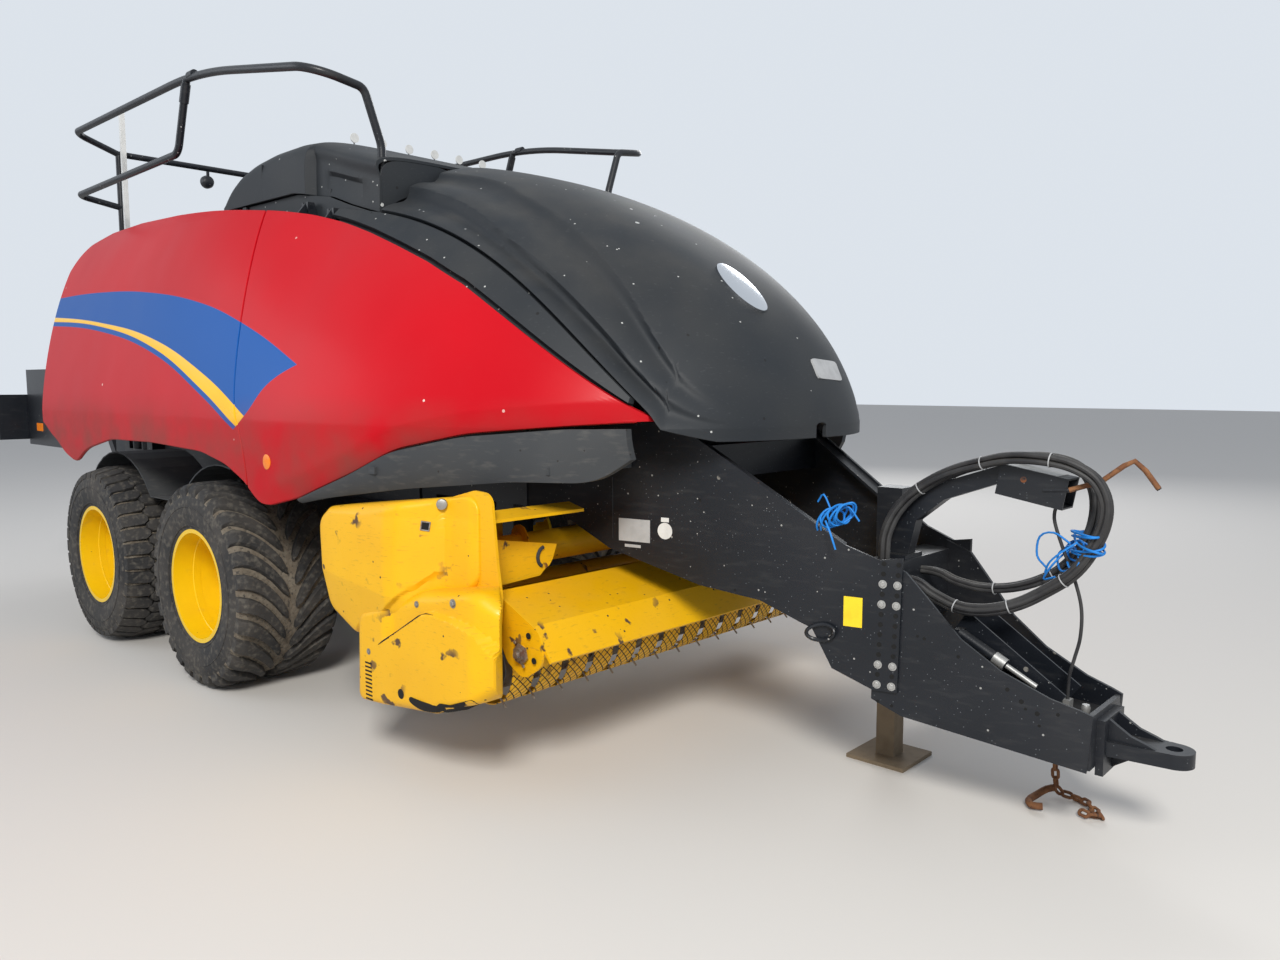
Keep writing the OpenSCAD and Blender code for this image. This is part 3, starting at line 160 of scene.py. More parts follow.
FLOOR_REACH = 60
FLOOR = Finish("floor", (0.66, 0.64, 0.61), 0.9).done()
floor_data = bpy.data.meshes.new("floor")
floor_data.from_pydata([(x * FLOOR_REACH, y * FLOOR_REACH, 0) for x, y in ((-1, -1), (1, -1), (1, 1), (-1, 1))], [],
                       [(0, 1, 2, 3)])
floor_data.materials.append(FLOOR)
floor = bpy.data.objects.new("floor", floor_data)
bpy.context.scene.collection.objects.link(floor)

# Light: a soft studio of one pale surround and three large lamps, all at a plain level. The surround is dimmer for
# the light that it casts than where it is seen, directly or in a reflection.
AIM = Vector((0.6, -0.3, 1.2))
world = bpy.data.worlds.new("studio")
world.use_nodes = True
sky = world.node_tree
light = sky.nodes["Background"]
light.inputs[0].default_value = (0.84, 0.9, 1.0, 1)
light.inputs[1].default_value = 0.5
backdrop = sky.nodes.new("ShaderNodeBackground")
backdrop.inputs[0].default_value = (0.72, 0.77, 0.83, 1)
rays = sky.nodes.new("ShaderNodeLightPath")
mix = sky.nodes.new("ShaderNodeMixShader")
seen = rays.outputs["Is Camera Ray"]
for other in ("Is Glossy Ray", "Is Transmission Ray"):
    both = sky.nodes.new("ShaderNodeMath")
    both.operation = "MAXIMUM"
    sky.links.new(seen, both.inputs[0])
    sky.links.new(rays.outputs[other], both.inputs[1])
    seen = both.outputs[0]
sky.links.new(seen, mix.inputs[0])
sky.links.new(light.outputs[0], mix.inputs[1])
sky.links.new(backdrop.outputs[0], mix.inputs[2])
sky.links.new(mix.outputs[0], sky.nodes["World Output"].inputs[0])
bpy.context.scene.world = world
bpy.context.scene.view_settings.view_transform = "Standard"
for name, at, size, power, tint in (
        ("key", (8.5, -8.0, 8.0), 3.0, 1500, (1.0, 0.97, 0.92)),
        ("fill", (-8.0, -9.0, 5.0), 6.0, 260, (0.92, 0.95, 1.0)),
        ("rim", (-3.0, 10.0, 7.0), 5.0, 420, (1.0, 1.0, 1.0))):
    lamp = bpy.data.objects.new(name, bpy.data.lights.new(name, "AREA"))
    lamp.data.size, lamp.data.energy, lamp.data.color = size, power, tint
    lamp.location = at
    lamp.rotation_euler = (AIM - Vector(at)).to_track_quat("-Z", "Y").to_euler()
    bpy.context.scene.collection.objects.link(lamp)

# Hoses: two bundles of four black rubber hoses leave the drawbar, run over the arm and hang back down to it. One
# thin control cable hangs from the arm's end. The routes are those of the solids, and both ends are fixed.
UPPER_ROUTE = [
    (2.99, -0.105, 0.9001), (2.99, -0.105, 0.94), (2.992, -0.096, 1.0), (3.02, -0.08, 1.08),
    (3.08, -0.066, 1.155), (3.16, -0.062, 1.212), (3.25, -0.064, 1.256), (3.35, -0.068, 1.288),
    (3.45, -0.09, 1.312), (3.56, -0.096, 1.316), (3.66, -0.09, 1.3), (3.735, -0.075, 1.255),
    (3.77, -0.062, 1.18), (3.765, -0.06, 1.095), (3.725, -0.06, 1.0), (3.672, -0.06, 0.925),
    (3.595, -0.06, 0.862), (3.5, -0.078, 0.8), (3.4, -0.1, 0.765), (3.3, -0.112, 0.76),
    (3.2, -0.114, 0.792), (3.15, -0.118, 0.822), (3.11, -0.12, 0.832), (3.0701, -0.12, 0.832)]
LOWER_ROUTE = [
    (2.99, 0.105, 0.9001), (2.99, 0.105, 0.94), (2.992, 0.096, 1.0), (3.02, 0.08, 1.085),
    (3.08, 0.066, 1.162), (3.16, 0.062, 1.218), (3.25, 0.064, 1.258), (3.35, 0.068, 1.288),
    (3.45, 0.088, 1.308), (3.55, 0.092, 1.306), (3.63, 0.088, 1.28), (3.68, 0.07, 1.225),
    (3.7, 0.056, 1.15), (3.69, 0.046, 1.06), (3.65, 0.04, 0.98), (3.59, 0.036, 0.91),
    (3.51, 0.032, 0.86), (3.42, 0.028, 0.828), (3.32, 0.028, 0.815), (3.22, 0.034, 0.825),
    (3.16, 0.048, 0.842), (3.11, 0.056, 0.848), (3.0701, 0.056, 0.848)]
CABLE_ROUTE = [
    (3.5879, 0, 1.146), (3.5827, 0, 1.1165), (3.588, 0, 1.08), (3.616, 0.002, 1.0), (3.658, 0.002, 0.9),
    (3.686, 0.002, 0.8), (3.688, 0, 0.7), (3.672, 0, 0.62), (3.658, 0, 0.56), (3.655, 0, 0.5),
    (3.655, 0, 0.4171)]
UPPER_BUNDLE_R, LOWER_BUNDLE_R, CABLE_R = 0.024, 0.02, 0.006
DUST = (0.3, 0.27, 0.22)
HOSE = (Finish("hose_rubber", (0.016, 0.016, 0.018), 0.5)
        .patches((12.0, 0.4, 0.8), (0.05, 0.05, 0.05), 0.65)
        .grain(0.0003, 300.0, 0.3, 0.7).dusty(0.2).done())


def curve(points, step=0.02):
    """A smooth path through given points: a cubic for each span, with the slope (c - a) / 2 at point b."""
    p = np.asarray(points, float)
    p = np.concatenate([[2 * p[0] - p[1]], p, [2 * p[-1] - p[-2]]])
    path = []
    for a, b, c, d in zip(p, p[1:], p[2:], p[3:]):
        t = np.linspace(0, 1, max(2, int(np.linalg.norm(c - b) / step) + 1), endpoint=False)[:, None]
        path.append(0.5 * (2 * b + (c - a) * t + (2 * a - 5 * b + 4 * c - d) * t ** 2
                           + (3 * b - a - 3 * c + d) * t ** 3))
    return np.concatenate(path + [[p[-2]]])


def frames(path):
    """Unit vectors across a path, carried along it without a twist."""
    path = np.asarray(path, float)
    along = np.gradient(path, axis=0)
    along /= np.linalg.norm(along, axis=1, keepdims=True)
    first = np.cross(along[0], (0, 0, 1) if abs(along[0][2]) < 0.9 else (1, 0, 0))
    side = [first / np.linalg.norm(first)]
    for way in along[1:]:
        v = side[-1] - way * np.dot(side[-1], way)
        side.append(v / np.linalg.norm(v))
    side = np.array(side)
    return side, np.cross(along, side)


def quads(index):
    """The four-sided faces between the neighbours of a grid of point numbers."""
    return np.stack([index[:-1, :-1], index[:-1, 1:], index[1:, 1:], index[1:, :-1]], axis=-1).reshape(-1, 4)


def loft(rings, caps=True):
    """A skin over closed rings of equally many points, P(i, k) = rings[i][k]."""
    rings = np.asarray(rings, float)
    m, n = rings.shape[:2]
    index = np.arange(m * n).reshape(m, n)
    faces = quads(np.concatenate([index, index[:, :1]], axis=1)).tolist()
    if caps:
        faces += [index[0, ::-1].tolist(), index[-1].tolist()]
    return rings.reshape(-1, 3), faces


def tube(path, radius, sides=12, caps=True):
    """A round bar along a path: P(i, w) = path(i) + r (u(i) cos w + v(i) sin w)."""
    path = np.asarray(path, float)
    u, v = frames(path)
    w = np.linspace(0, 2 * np.pi, sides, endpoint=False)[None, :, None]
    r = np.broadcast_to(radius, len(path))[:, None, None]
    return loft(path[:, None] + r * (u[:, None] * np.cos(w) + v[:, None] * np.sin(w)), caps)


def round_edges(obj, width):
    """Rounds the sharp edges of an object by a bevel of that width."""
    bevel = obj.modifiers.new("edges", "BEVEL")
    bevel.width = width
    bevel.segments = 2
    bevel.limit_method = "ANGLE"
    bevel.angle_limit = math.radians(40)
    bevel.harden_normals = False


def piece(name, shapes, body, finish, smooth=35, bevel=0.0, node=None):
    """Joins shapes, each a pair of points and faces, into one object that rides on a body.

    Edges over the angle smooth stay sharp. The piece may stand for a CAD node.
    """
    starts = np.cumsum([0] + [len(points) for points, _ in shapes])
    points = np.concatenate([np.asarray(points, float).reshape(-1, 3) for points, _ in shapes])
    faces = [[start + i for i in face] for start, (_, some) in zip(starts.tolist(), shapes) for face in some]
    data = bpy.data.meshes.new(name)
    data.from_pydata(points.tolist(), [], faces)
    work = bmesh.new()
    work.from_mesh(data)
    bmesh.ops.remove_doubles(work, verts=work.verts, dist=1e-6)
    bmesh.ops.recalc_face_normals(work, faces=work.faces)
    work.to_mesh(data)
    work.free()
    data.polygons.foreach_set("use_smooth", [True] * len(data.polygons))
    data.set_sharp_from_angle(angle=math.radians(smooth))
    data.materials.append(finish)
    obj = bpy.data.objects.new(name, data)
    bpy.context.scene.collection.objects.link(obj)
    if bevel:
        round_edges(obj, bevel)
    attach(obj, body)
    if node:
        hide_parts(node)
    return obj


def path_length(path):
    """Length of a path in metres."""
    return float(np.linalg.norm(np.diff(path, axis=0), axis=1).sum())


def hose_bundle(node, route, radius, strand):
    """Four hoses side by side round one line: each strand keeps its place and twists slowly."""
    path = curve(route)
    u, v = frames(path)
    run = np.linspace(0, 1, len(path))
    shapes = []
    for k in range(4):
        turn = (2 * np.pi * (k / 4 + 0.35 * run) + 0.25 * np.sin(9 * run + 2 * k))[:, None]
        shapes.append(tube(path + (radius - strand) * (u * np.cos(turn) + v * np.sin(turn)), strand, 10))
    made = piece(f"{node}_hoses", shapes, "chassis", HOSE, node=node)
    path_length(path)


hose_bundle("hose_loop_upper", UPPER_ROUTE, UPPER_BUNDLE_R, 0.0105)
hose_bundle("hose_loop_lower", LOWER_ROUTE, LOWER_BUNDLE_R, 0.0088)
cable_path = curve(CABLE_ROUTE, 0.01)
cable = piece("control_cable_wire", [tube(cable_path, CABLE_R, 10)], "chassis", HOSE,
              node="control_cable")
path_length(cable_path)

# Frame: the bale chamber, its rails, the side plates and the drawbar are welded and bolted steel in black gloss
# paint, chipped and dusty. Their solids keep their shape and get rounded edges. The jack's leg is bare steel.
RUST = (0.16, 0.055, 0.02)
BLACK = (Finish("frame_paint", (0.008, 0.01, 0.014), 0.36, coat=0.08, specular=0.3)
         .patches((2.2, 0.35, 0.8), (0.014, 0.016, 0.021), 0.45)
         .specks((85.0, 0.16, 0.2), (0.1, 0.11, 0.12), 0.6)
         .specks((34.0, 0.13, 0.14), (0.3, 0.3, 0.29), 0.7)
         .specks((11.0, 0.1, 0.16), (0.2, 0.19, 0.17), 0.7, (30.0, 0.42, 0.55))
         .specks((8.0, 0.09, 0.08), RUST, 0.85, (20.0, 0.4, 0.5))
         .patches((9.0, 0.55, 0.8, (1, 1, 5)), (0.06, 0.06, 0.06), 0.6, share=0.25)
         .grain(0.0002, 160.0, 0.3, 0.8).dusty(0.1).done())
# The chamber has the same dull, scuffed grey as the moulded skirts and mudguards
GUARD = (Finish("guard_plastic", (0.032, 0.036, 0.041), 0.58, specular=0.3)
         .patches((1.8, 0.3, 0.75), (0.043, 0.048, 0.054), 0.64)
         .patches((14.0, 0.55, 0.75, (1, 1, 4)), (0.13, 0.125, 0.115), 0.7, share=0.3)
         .specks((24.0, 0.1, 0.12), (0.02, 0.02, 0.02), 0.7)
         .grain(0.0002, 260.0, 0.2, 0.8, detail=1.0).dusty(0.16).done())


def plain(name, colour, rough, metal=0.0, stain=0.35):
    """Finish of a small part: one colour with stains and a fine grain."""
    return (Finish(name, colour, rough, metal)
            .patches((22.0, 0.45, 0.75), [c * 0.55 for c in colour], min(1.0, rough + 0.2), stain)
            .grain(0.0001, 200.0, 0.3, 0.7).done())


def keep(finish, widths):
    """Gives CAD nodes a finish and edges rounded by that width, from rows of width: names of nodes."""
    for width, nodes in widths.items():
        for node in nodes.split():
            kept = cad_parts[node]
            kept.data.materials.clear()
            kept.data.materials.append(finish)
            round_edges(kept, width)


keep(BLACK, {
    0.002: "shaft_cradle", 0.003: "frame_plates drawbar platform rear_lights hose_arm",
    0.004: "jack_tube density_frame bale_chute", 0.005: "tow_hitch", 0.006: "chassis_rails", 0.02: "gearbox_block"})
keep(GUARD, {0.004: "bale_chamber"})
keep(plain("dusty_steel", (0.19, 0.145, 0.095), 0.8), {0.004: "jack_leg"})

# Axles: two painted beams on leaf springs. The rear wheels steer about upright pins on bare steel knuckles, which a
# track rod joins.
STEEL = (Finish("bare_steel", (0.36, 0.35, 0.33), 0.42, metal=0.85)
         .patches((18.0, 0.4, 0.7), (0.24, 0.22, 0.2), 0.55)
         .patches((9.0, 0.5, 0.7), RUST, 0.85, within=(60.0, 0.45, 0.6))
         .grain(0.0003, 120.0, 0.3, 0.8).done())
keep(BLACK, {0.002: "leaf_springs", 0.006: "front_axle rear_axle"})
keep(STEEL, {0.004: "knuckle_right knuckle_left"})
keep(STEEL, {0.004: "tie_rod"})

# Side panels: four large doors of glass-fibre in gloss red paint with a blue band and a yellow stripe, each hinged
# at its top edge on two arms, the front pair folded in at their foot. They follow the form of the whole body: its
# half width h(x) and crown c(x) make each section |y / h| ^ p + ((z - waist) / c) ^ q = 1.
WIDTH, CROWN, WAIST, NOSE_X, PLAN_X, CROWN_X = 2.78, 1.4, 1.4, 2.637, 0.18, -0.42
PLAN_POWER, CROWN_POWER, CROWN_Q, SQUARE_P, ROUND_P = 2.28, 0.56, 1.3, 5.0, 2.5
PANEL_T = 0.022
WALL_PER_DEGREE = 0.01
REAR_X, FRONT_TIP_X = -2.38, 2.33
SEAM_FOOT_X, SEAM_LEAN, PANEL_GAP = 0.43, 0.47, 0.012
FOLD_DEPTH, FOLD_HEIGHT = 0.026, 0.085
ROUND_X, ROUND_REACH = -0.82, 1.5
HOOD_HIGH, HOOD_BEND_X, HOOD_BEND_REACH = 57, 0.2, 2.18
RED_HIGH, RED_REACH, RED_POWER = 55.5, 2.4, 0.52
# Lower edge as rows of x and z, and upper edge as rows of x and angle. In front of its last row the upper edge
# follows the roof bands.
RED_LOW = [
    (-2.38, 1.33), (-2.24, 1.255), (-2.13, 1.215), (-1.99, 1.14), (-1.8, 1.09), (-1.69, 1.15), (-1.58, 1.19),
    (-1.22, 1.255), (-0.65, 1.26), (-0.04, 1.24), (0.23, 1.19), (0.42, 1.115), (0.51, 1.045), (0.58, 1.02),
    (0.83, 1.08), (1.17, 1.205), (1.4, 1.31), (1.73, 1.38), (2.11, 1.415), (2.32, 1.432), (2.45, 1.44)]
RED_EDGE = [
    (-2.38, 48.0), (-2.36, 51.0), (-2.3, 54.6), (-2.22, 57.2), (-1.95, 60.2), (-1.52, 61.2), (-0.97, 60.2),
    (-0.515, 58.6), (-0.205, 57.2), (0.104, 56.0), (0.313, 55.0), (0.543, 53.3), (0.812, 51.0), (1.061, 48.5),
    (1.271, 46.2), (1.51, 42.7)]
# Lines of the band and its stripe: rows of x and z
BAND_TOP = [(-2.4, 2.126), (-1.669, 2.12), (-0.881, 2.071), (-0.245, 1.981), (0.186, 1.867), (0.764, 1.655)]
BAND_FOOT = [(-2.4, 1.944), (-1.508, 1.878), (-0.714, 1.742), (-0.048, 1.517), (0.321, 1.358)]
BAND_END = [(0.321, 1.358), (0.434, 1.43), (0.593, 1.58), (0.764, 1.655)]
STRIPE_TOP = [(-2.4, 2.0), (-1.528, 1.93), (-0.729, 1.815), (-0.067, 1.625), (0.42, 1.425)]
STRIPE_RISE = 0.028
# Hinge arms: x, and the angles between which each meets its panel
ARMS = {"rear": [(-1.9, 54, 40), (-0.7, 54, 40)], "front": [(0.16, 49, 42), (0.4, 49, 42)]}
HINGE_Y, HINGE_Z, HINGE_FALL = 0.88, 2.5, 0.24


def line_height(finish, x, rows):
    """Height of a painted line at each x, from a float curve through its rows."""
    (x0, x1), (z0, z1) = ((-2.5, 1.0), (1.2, 2.4))
    line = finish.node("FloatCurve", Value=finish.between(x, x0, x1))
    points = line.mapping.curves[0].points
    for i, (px, pz) in enumerate(rows):
        at = ((px - x0) / (x1 - x0), (pz - z0) / (z1 - z0))
        if i < 2:
            points[i].location = at
        else:
            points.new(*at)
    line.mapping.update()
    return finish.node("MapRange", Value=line.outputs[0], **{"To Min": z0, "To Max": z1}).outputs[0]


def red_paint():
    """Gloss red paint, with the band and stripe on the side panels."""
    red = Finish("red_paint", (0.5, 0.003, 0.01), 0.38, coat=0.03, specular=0.12)
    red.patches((0.9, 0.35, 0.75), (0.43, 0.002, 0.008))
    x, _, z = red.node("SeparateXYZ", Vector=red.place).outputs
    foot = line_height(red, x, BAND_FOOT)

    def above(low, high):
        """A mask of where the height high lies over the height low."""
        return red.between(red.sum("SUBTRACT", high, low), -0.0015, 0.0015)

    in_end = red.sum("MAXIMUM", red.sum("LESS_THAN", x, BAND_END[0][0]), above(line_height(red, x, BAND_END), z))
    in_foot = red.sum("MAXIMUM", red.sum("GREATER_THAN", x, BAND_FOOT[-1][0]), above(foot, z))
    under_top = red.both(above(z, line_height(red, x, BAND_TOP)), red.sum("LESS_THAN", x, BAND_TOP[-1][0]))
    band = red.both(under_top, red.both(in_end, in_foot))
    red.layer(band, (0.0, 0.078, 0.33), 0.38)
    stripe_foot = red.sum("ADD", foot, STRIPE_RISE)
    stripe = red.both(red.both(above(z, line_height(red, x, STRIPE_TOP)), above(stripe_foot, z)), band)
    red.layer(stripe, (0.9, 0.5, 0.01), 0.25)
    fading = red.both(red.between(red.sum("SUBTRACT", z, stripe_foot), 0.0, 0.05), red.between(x, 0.2, -2.2))
    red.layer(red.both(stripe, fading), (0.85, 0.62, 0.25))
    red.specks((9.0, 0.06, 0.12), (0.75, 0.55, 0.5), 0.6, (2.0, 0.4, 0.6))
    red.patches((30.0, 0.62, 0.8, (1, 1, 8)), DUST, 0.5, share=0.02)
    # Darker in patches towards the foot of the panels, from z 1.53 down to 1.28: painted shade.
    red.layer(red.both(red.between(z, 1.53, 1.28), red.noise(4.0, 0.3, 0.8)), (0.2, 0.05, 0.04), 0.55)
    return red.grain(0.004, 2.6, 0.2, 0.8, detail=1.0).dusty(0.03).done()


def clamp(v):
    """Limits a value to 0..1."""
    return np.clip(v, 0.0, 1.0)


def ease(v):
    """Rises from 0 to 1 with level ends."""
    v = clamp(v)
    return v * v * (3 - 2 * v)


def lookup(x, rows, soften=0.0):
    """Height of a line of (x, z) rows at x, rounded off over the distance soften."""
    xs, zs = np.array(rows, float).T
    offsets = np.linspace(-soften, soften, 9) if soften else [0.0]
    return np.mean([np.interp(x + d, xs, zs) for d in offsets], axis=0)


def half_width(x, inset=0.0):
    """Half of the body's width at x."""
    share = clamp((x - PLAN_X) / (NOSE_X - PLAN_X - inset))
    return (WIDTH / 2 - inset) * (1 - share ** PLAN_POWER) ** (1 / PLAN_POWER)


def crown(x, inset=0.0):
    """Height of the crown over the waist at x."""
    share = clamp((x - CROWN_X) / (NOSE_X - CROWN_X - inset))
    return (CROWN - inset) * (1 - share ** 2) ** CROWN_POWER


def body_at(x, phi, inset=0.0):
    """Point of the right-hand side at x and at the angle phi up from the waist, in degrees."""
    p = SQUARE_P + (ROUND_P - SQUARE_P) * ease((x - ROUND_X) / ROUND_REACH)
    up = np.radians(np.maximum(phi, 0.0))
    y = half_width(x, inset) * np.cos(up) ** (2 / p)
    z = WAIST + np.where(phi > 0, crown(x, inset) * np.sin(up) ** (2 / CROWN_Q), WALL_PER_DEGREE * phi)
    return np.stack([x + 0 * phi, -y, z], axis=-1)


def phi_at(x, z):
    """Angle up from the waist at which the body has the height z."""
    rise = np.degrees(np.arcsin(clamp((z - WAIST) / np.maximum(crown(x), 1e-6)) ** (CROWN_Q / 2)))
    return np.where(z < WAIST, (z - WAIST) / WALL_PER_DEGREE, rise)


def hood_line(x):
    """Angle of the hood's side edge."""
    return HOOD_HIGH * (1 - clamp((x - HOOD_BEND_X) / HOOD_BEND_REACH) ** 3) ** 0.5


def red_top(x):
    """Angle of the red panels' top edge: its rows at the rear, and high (1 - (x / reach) ^ 2) ^ power in front."""
    front = RED_HIGH * (1 - clamp(x / RED_REACH) ** 2) ** RED_POWER
    return np.where(x > RED_EDGE[-1][0], front, lookup(x, RED_EDGE, 0.02))


def red_low(x):
    """Angle of the lower edge of the red panels."""
    return phi_at(x, lookup(x, RED_LOW, 0.05))


def seam(v):
    """x of the seam between the side panels, from its foot v = 0 to its top v = 1."""
    return SEAM_FOOT_X - SEAM_LEAN * clamp(v) ** 1.6


def lower_fold(x, phi, v):
    """Depth of the strip along a front panel's lower edge, which is folded in."""
    rise = body_at(x, phi)[..., 2] - lookup(x, RED_LOW, 0.05)
    return FOLD_DEPTH * clamp(1 - rise / FOLD_HEIGHT) * ease((x - 0.5) / 0.35)


def shell(outer, inner):
    """A closed sheet between a grid of outer points and a grid of inner points."""
    index = np.arange(outer.shape[0] * outer.shape[1]).reshape(outer.shape[:2])
    rim = np.concatenate([index[:, 0], index[-1, 1:], index[-2::-1, -1], index[0, -2:0:-1]])
    after = np.roll(rim, -1)
    skin = quads(index)
    faces = np.concatenate([skin, index.size + skin[:, [0, 3, 2, 1]],
                            np.stack([rim, index.size + rim, index.size + after, after], axis=1)])
    return np.concatenate([outer.reshape(-1, 3), inner.reshape(-1, 3)]), faces.tolist()


def side_grid(front, back, low, high, thick=PANEL_T, rows=80, columns=40, sink=0.0):
    """Outer and inner points of a stretch of the right-hand side: x = back + (front - back) u.

    The angle goes from low(x) to high(x) with the share v. front and back are numbers or functions of v, and sink
    is a depth or a function of x, the angle and v.
    """
    v = np.linspace(0, 1, columns + 1)[None, :]
    u = np.linspace(0, 1, rows + 1)[:, None]
    front, back = (edge(v) if callable(edge) else edge + 0 * v for edge in (front, back))
    x = back + (front - back) * u
    phi = low(x) + (high(x) - low(x)) * v
    depth = sink(x, phi, v) if callable(sink) else sink
    return body_at(x, phi, depth), body_at(x, phi, depth + thick)


def prism(outline, sweep, start=(0, 0, 0)):
    """A flat outline of 3D points moved to start, and its copy moved on by sweep."""
    n = len(outline)
    low = np.asarray(outline, float) + np.asarray(start, float)
    high = low + np.asarray(sweep, float)
    sides = [(i, (i + 1) % n, n + (i + 1) % n, n + i) for i in range(n)]
    return np.concatenate([low, high]), [list(range(n))[::-1], list(range(n, 2 * n))] + sides


def lathe(centre, axis, profile, sides=48, ring_shaped=False):
    """Turns a profile of (distance along, radius) about an axis. A ring's profile closes on itself."""
    axis = Vector(axis).normalized()
    u = axis.orthogonal().normalized()
    v = axis.cross(u)
    w = np.linspace(0, 2 * np.pi, sides, endpoint=False)[:, None]
    ring = np.cos(w) * np.array(u) + np.sin(w) * np.array(v)
    if ring_shaped:
        profile = list(profile) + [profile[0]]
    rings = [np.array(centre) + np.array(axis) * a + ring * max(r, 1e-4) for a, r in profile]
    return loft(rings, caps=not ring_shaped)


def mirrored(shape):
    """The same shape on the left-hand side."""
    points = np.array(shape[0], float) * (1, -1, 1)
    return points, [list(face)[::-1] for face in shape[1]]


def both_sides(shapes):
    """Shapes of the right-hand side, and the same on the left."""
    return shapes + [mirrored(shape) for shape in shapes]


def panel_shapes(part):
    """The shell of a right-hand side panel and its lip."""
    if part == "rear":
        back, front, fold = REAR_X, seam, 0.0
    else:
        back, front, fold = (lambda v: seam(v) + PANEL_GAP), FRONT_TIP_X, lower_fold
    outer, inner = side_grid(front, back, red_low, red_top, rows=100, columns=44, sink=fold)
    return [shell(outer, inner), tube(outer[2:-2, 0] + (0, 0.012, 0.006), 0.01, 8)]


def hinge_shapes(part):
    """The arms of a right-hand side panel, each with its pin."""
    shapes = []
    tilt = 0.0 if part == "rear" else HINGE_FALL
    way = np.array([1, 0, -tilt]) / math.hypot(1, tilt)
    for x, high, low in ARMS[part]:
        z = HINGE_Z - tilt * x
        a, b = body_at(np.array(x), np.array([high, low]), PANEL_T - 0.004)
        outline = [(x, dy - HINGE_Y, z + dz) for dy, dz in ((0.015, -0.015), (0.015, 0.015), (-0.015, 0.015))]
        shapes.append(prism(outline + [a, b], (0.016, 0, 0), start=(-0.008, 0, 0)))
        shapes.append(lathe(np.array([x, -HINGE_Y, z]) - 0.032 * way, way, [(0, 0.012), (0.064, 0.012)], 24))
    return shapes


RED = red_paint()
for part in ("rear", "front"):
    right, arms = panel_shapes(part), hinge_shapes(part)
    for side, turn in (("right", list), ("left", lambda shapes: [mirrored(s) for s in shapes])):
        body = f"panel_{part}_{side}"
        piece(f"{body}_skin", turn(right), body, RED, 40, 0.003, node=body)
        piece(f"{body}_hinge_arms", turn(arms), body, BLACK, 35)

# Roof bands: dark strips between the red panels and the hood, moulded in the hood's dark grey plastic with bird
# marks and grit. Each has two flanges turned in under its neighbours, and stands on a stay and a bracket.
HOOD = (Finish("hood_plastic", (0.014, 0.017, 0.021), 0.56, specular=0.3)
        .patches((1.2, 0.3, 0.8), (0.02, 0.024, 0.029), 0.62)
        .patches((45.0, 0.62, 0.78, (1, 1, 3)), (0.07, 0.075, 0.08), 0.6, share=0.3)
        .specks((7.0, 0.07, 0.2), (0.55, 0.56, 0.55), 0.7, (60.0, 0.4, 0.5))
        .specks((26.0, 0.11, 0.1), (0.42, 0.43, 0.42), 0.7)
        .specks((17.0, 0.12, 0.1), (0.006, 0.006, 0.007), 0.4)
        .grain(0.00012, 420.0, 0.2, 0.8, detail=1.0).dusty(0.12).done())
BAND_BACK_X, BAND_FRONT_X = 0.45, 2.28
# Flanges: the line that each follows, its rear end and its depth
FLANGES = [(red_top, 0.46, 0.033), (hood_line, 0.76, 0.036)]
FLANGE_T = 0.006
STAY_X, STAY_T = 1.35, 0.04


def box(low, high):
    """A box from its lowest and highest corners."""
    (a, b, c), (d, e, f) = low, high
    points = [(a, b, c), (d, b, c), (d, e, c), (a, e, c), (a, b, f), (d, b, f), (d, e, f), (a, e, f)]
    return points, [(0, 3, 2, 1), (4, 5, 6, 7), (0, 1, 5, 4), (1, 2, 6, 5), (2, 3, 7, 6), (3, 0, 4, 7)]


right = [
    shell(*side_grid(BAND_FRONT_X, BAND_BACK_X, lambda x: red_top(x) + 1.2 + 0.4 * clamp((x - 1.4) / 0.9),
                     hood_line)),
    prism([(STAY_X, -0.59, 1.43), (STAY_X, -0.55, 1.43), (STAY_X, -0.868, 2.134), (STAY_X, -0.905, 2.098)],
          (STAY_T, 0, 0)),
    box((0.64, -0.862, 2.2), (0.7, -0.8, 2.374))]
for line, back, deep in FLANGES:
    right.append(shell(*side_grid(BAND_FRONT_X - 0.01, back, lambda x: line(x) - 1.5, lambda x: line(x) + 2.3,
                                  FLANGE_T, rows=60, columns=3, sink=deep)))
piece("roof_band_skins", both_sides(right), "chassis", HOOD, 40, 0.003, node="roof_bands")

# Skirts: grey moulded strips that close the sides below the front panels. They lean in towards their foot and are
# carried by two flat brackets a side.
SKIRT_BACK_X, SKIRT_FRONT_X, SKIRT_LEAN, SKIRT_GAP = 0.84, 2.29, 0.02, 0.014
SKIRT_LOW = [(0.78, 1.04), (1.01, 1.085), (1.46, 1.15), (1.91, 1.195), (2.16, 1.195), (2.23, 1.225), (2.29, 1.29),
             (2.4, 1.36)]
right = [
    shell(*side_grid(SKIRT_FRONT_X, SKIRT_BACK_X, lambda x: phi_at(x, lookup(x, SKIRT_LOW, 0.04)),
                     lambda x: (lookup(x, RED_LOW, 0.05) - SKIRT_GAP - WAIST) / WALL_PER_DEGREE,
                     sink=lambda x, phi, v: SKIRT_LEAN * (1 - v) ** 2)),
    box((1.285, -1.285, 1.205), (1.335, -0.622, 1.235)), box((2.0, -0.985, 1.225), (2.05, -0.52, 1.255))]
piece("skirt_skins", both_sides(right), "chassis", GUARD, 40, 0.003, node="skirts")

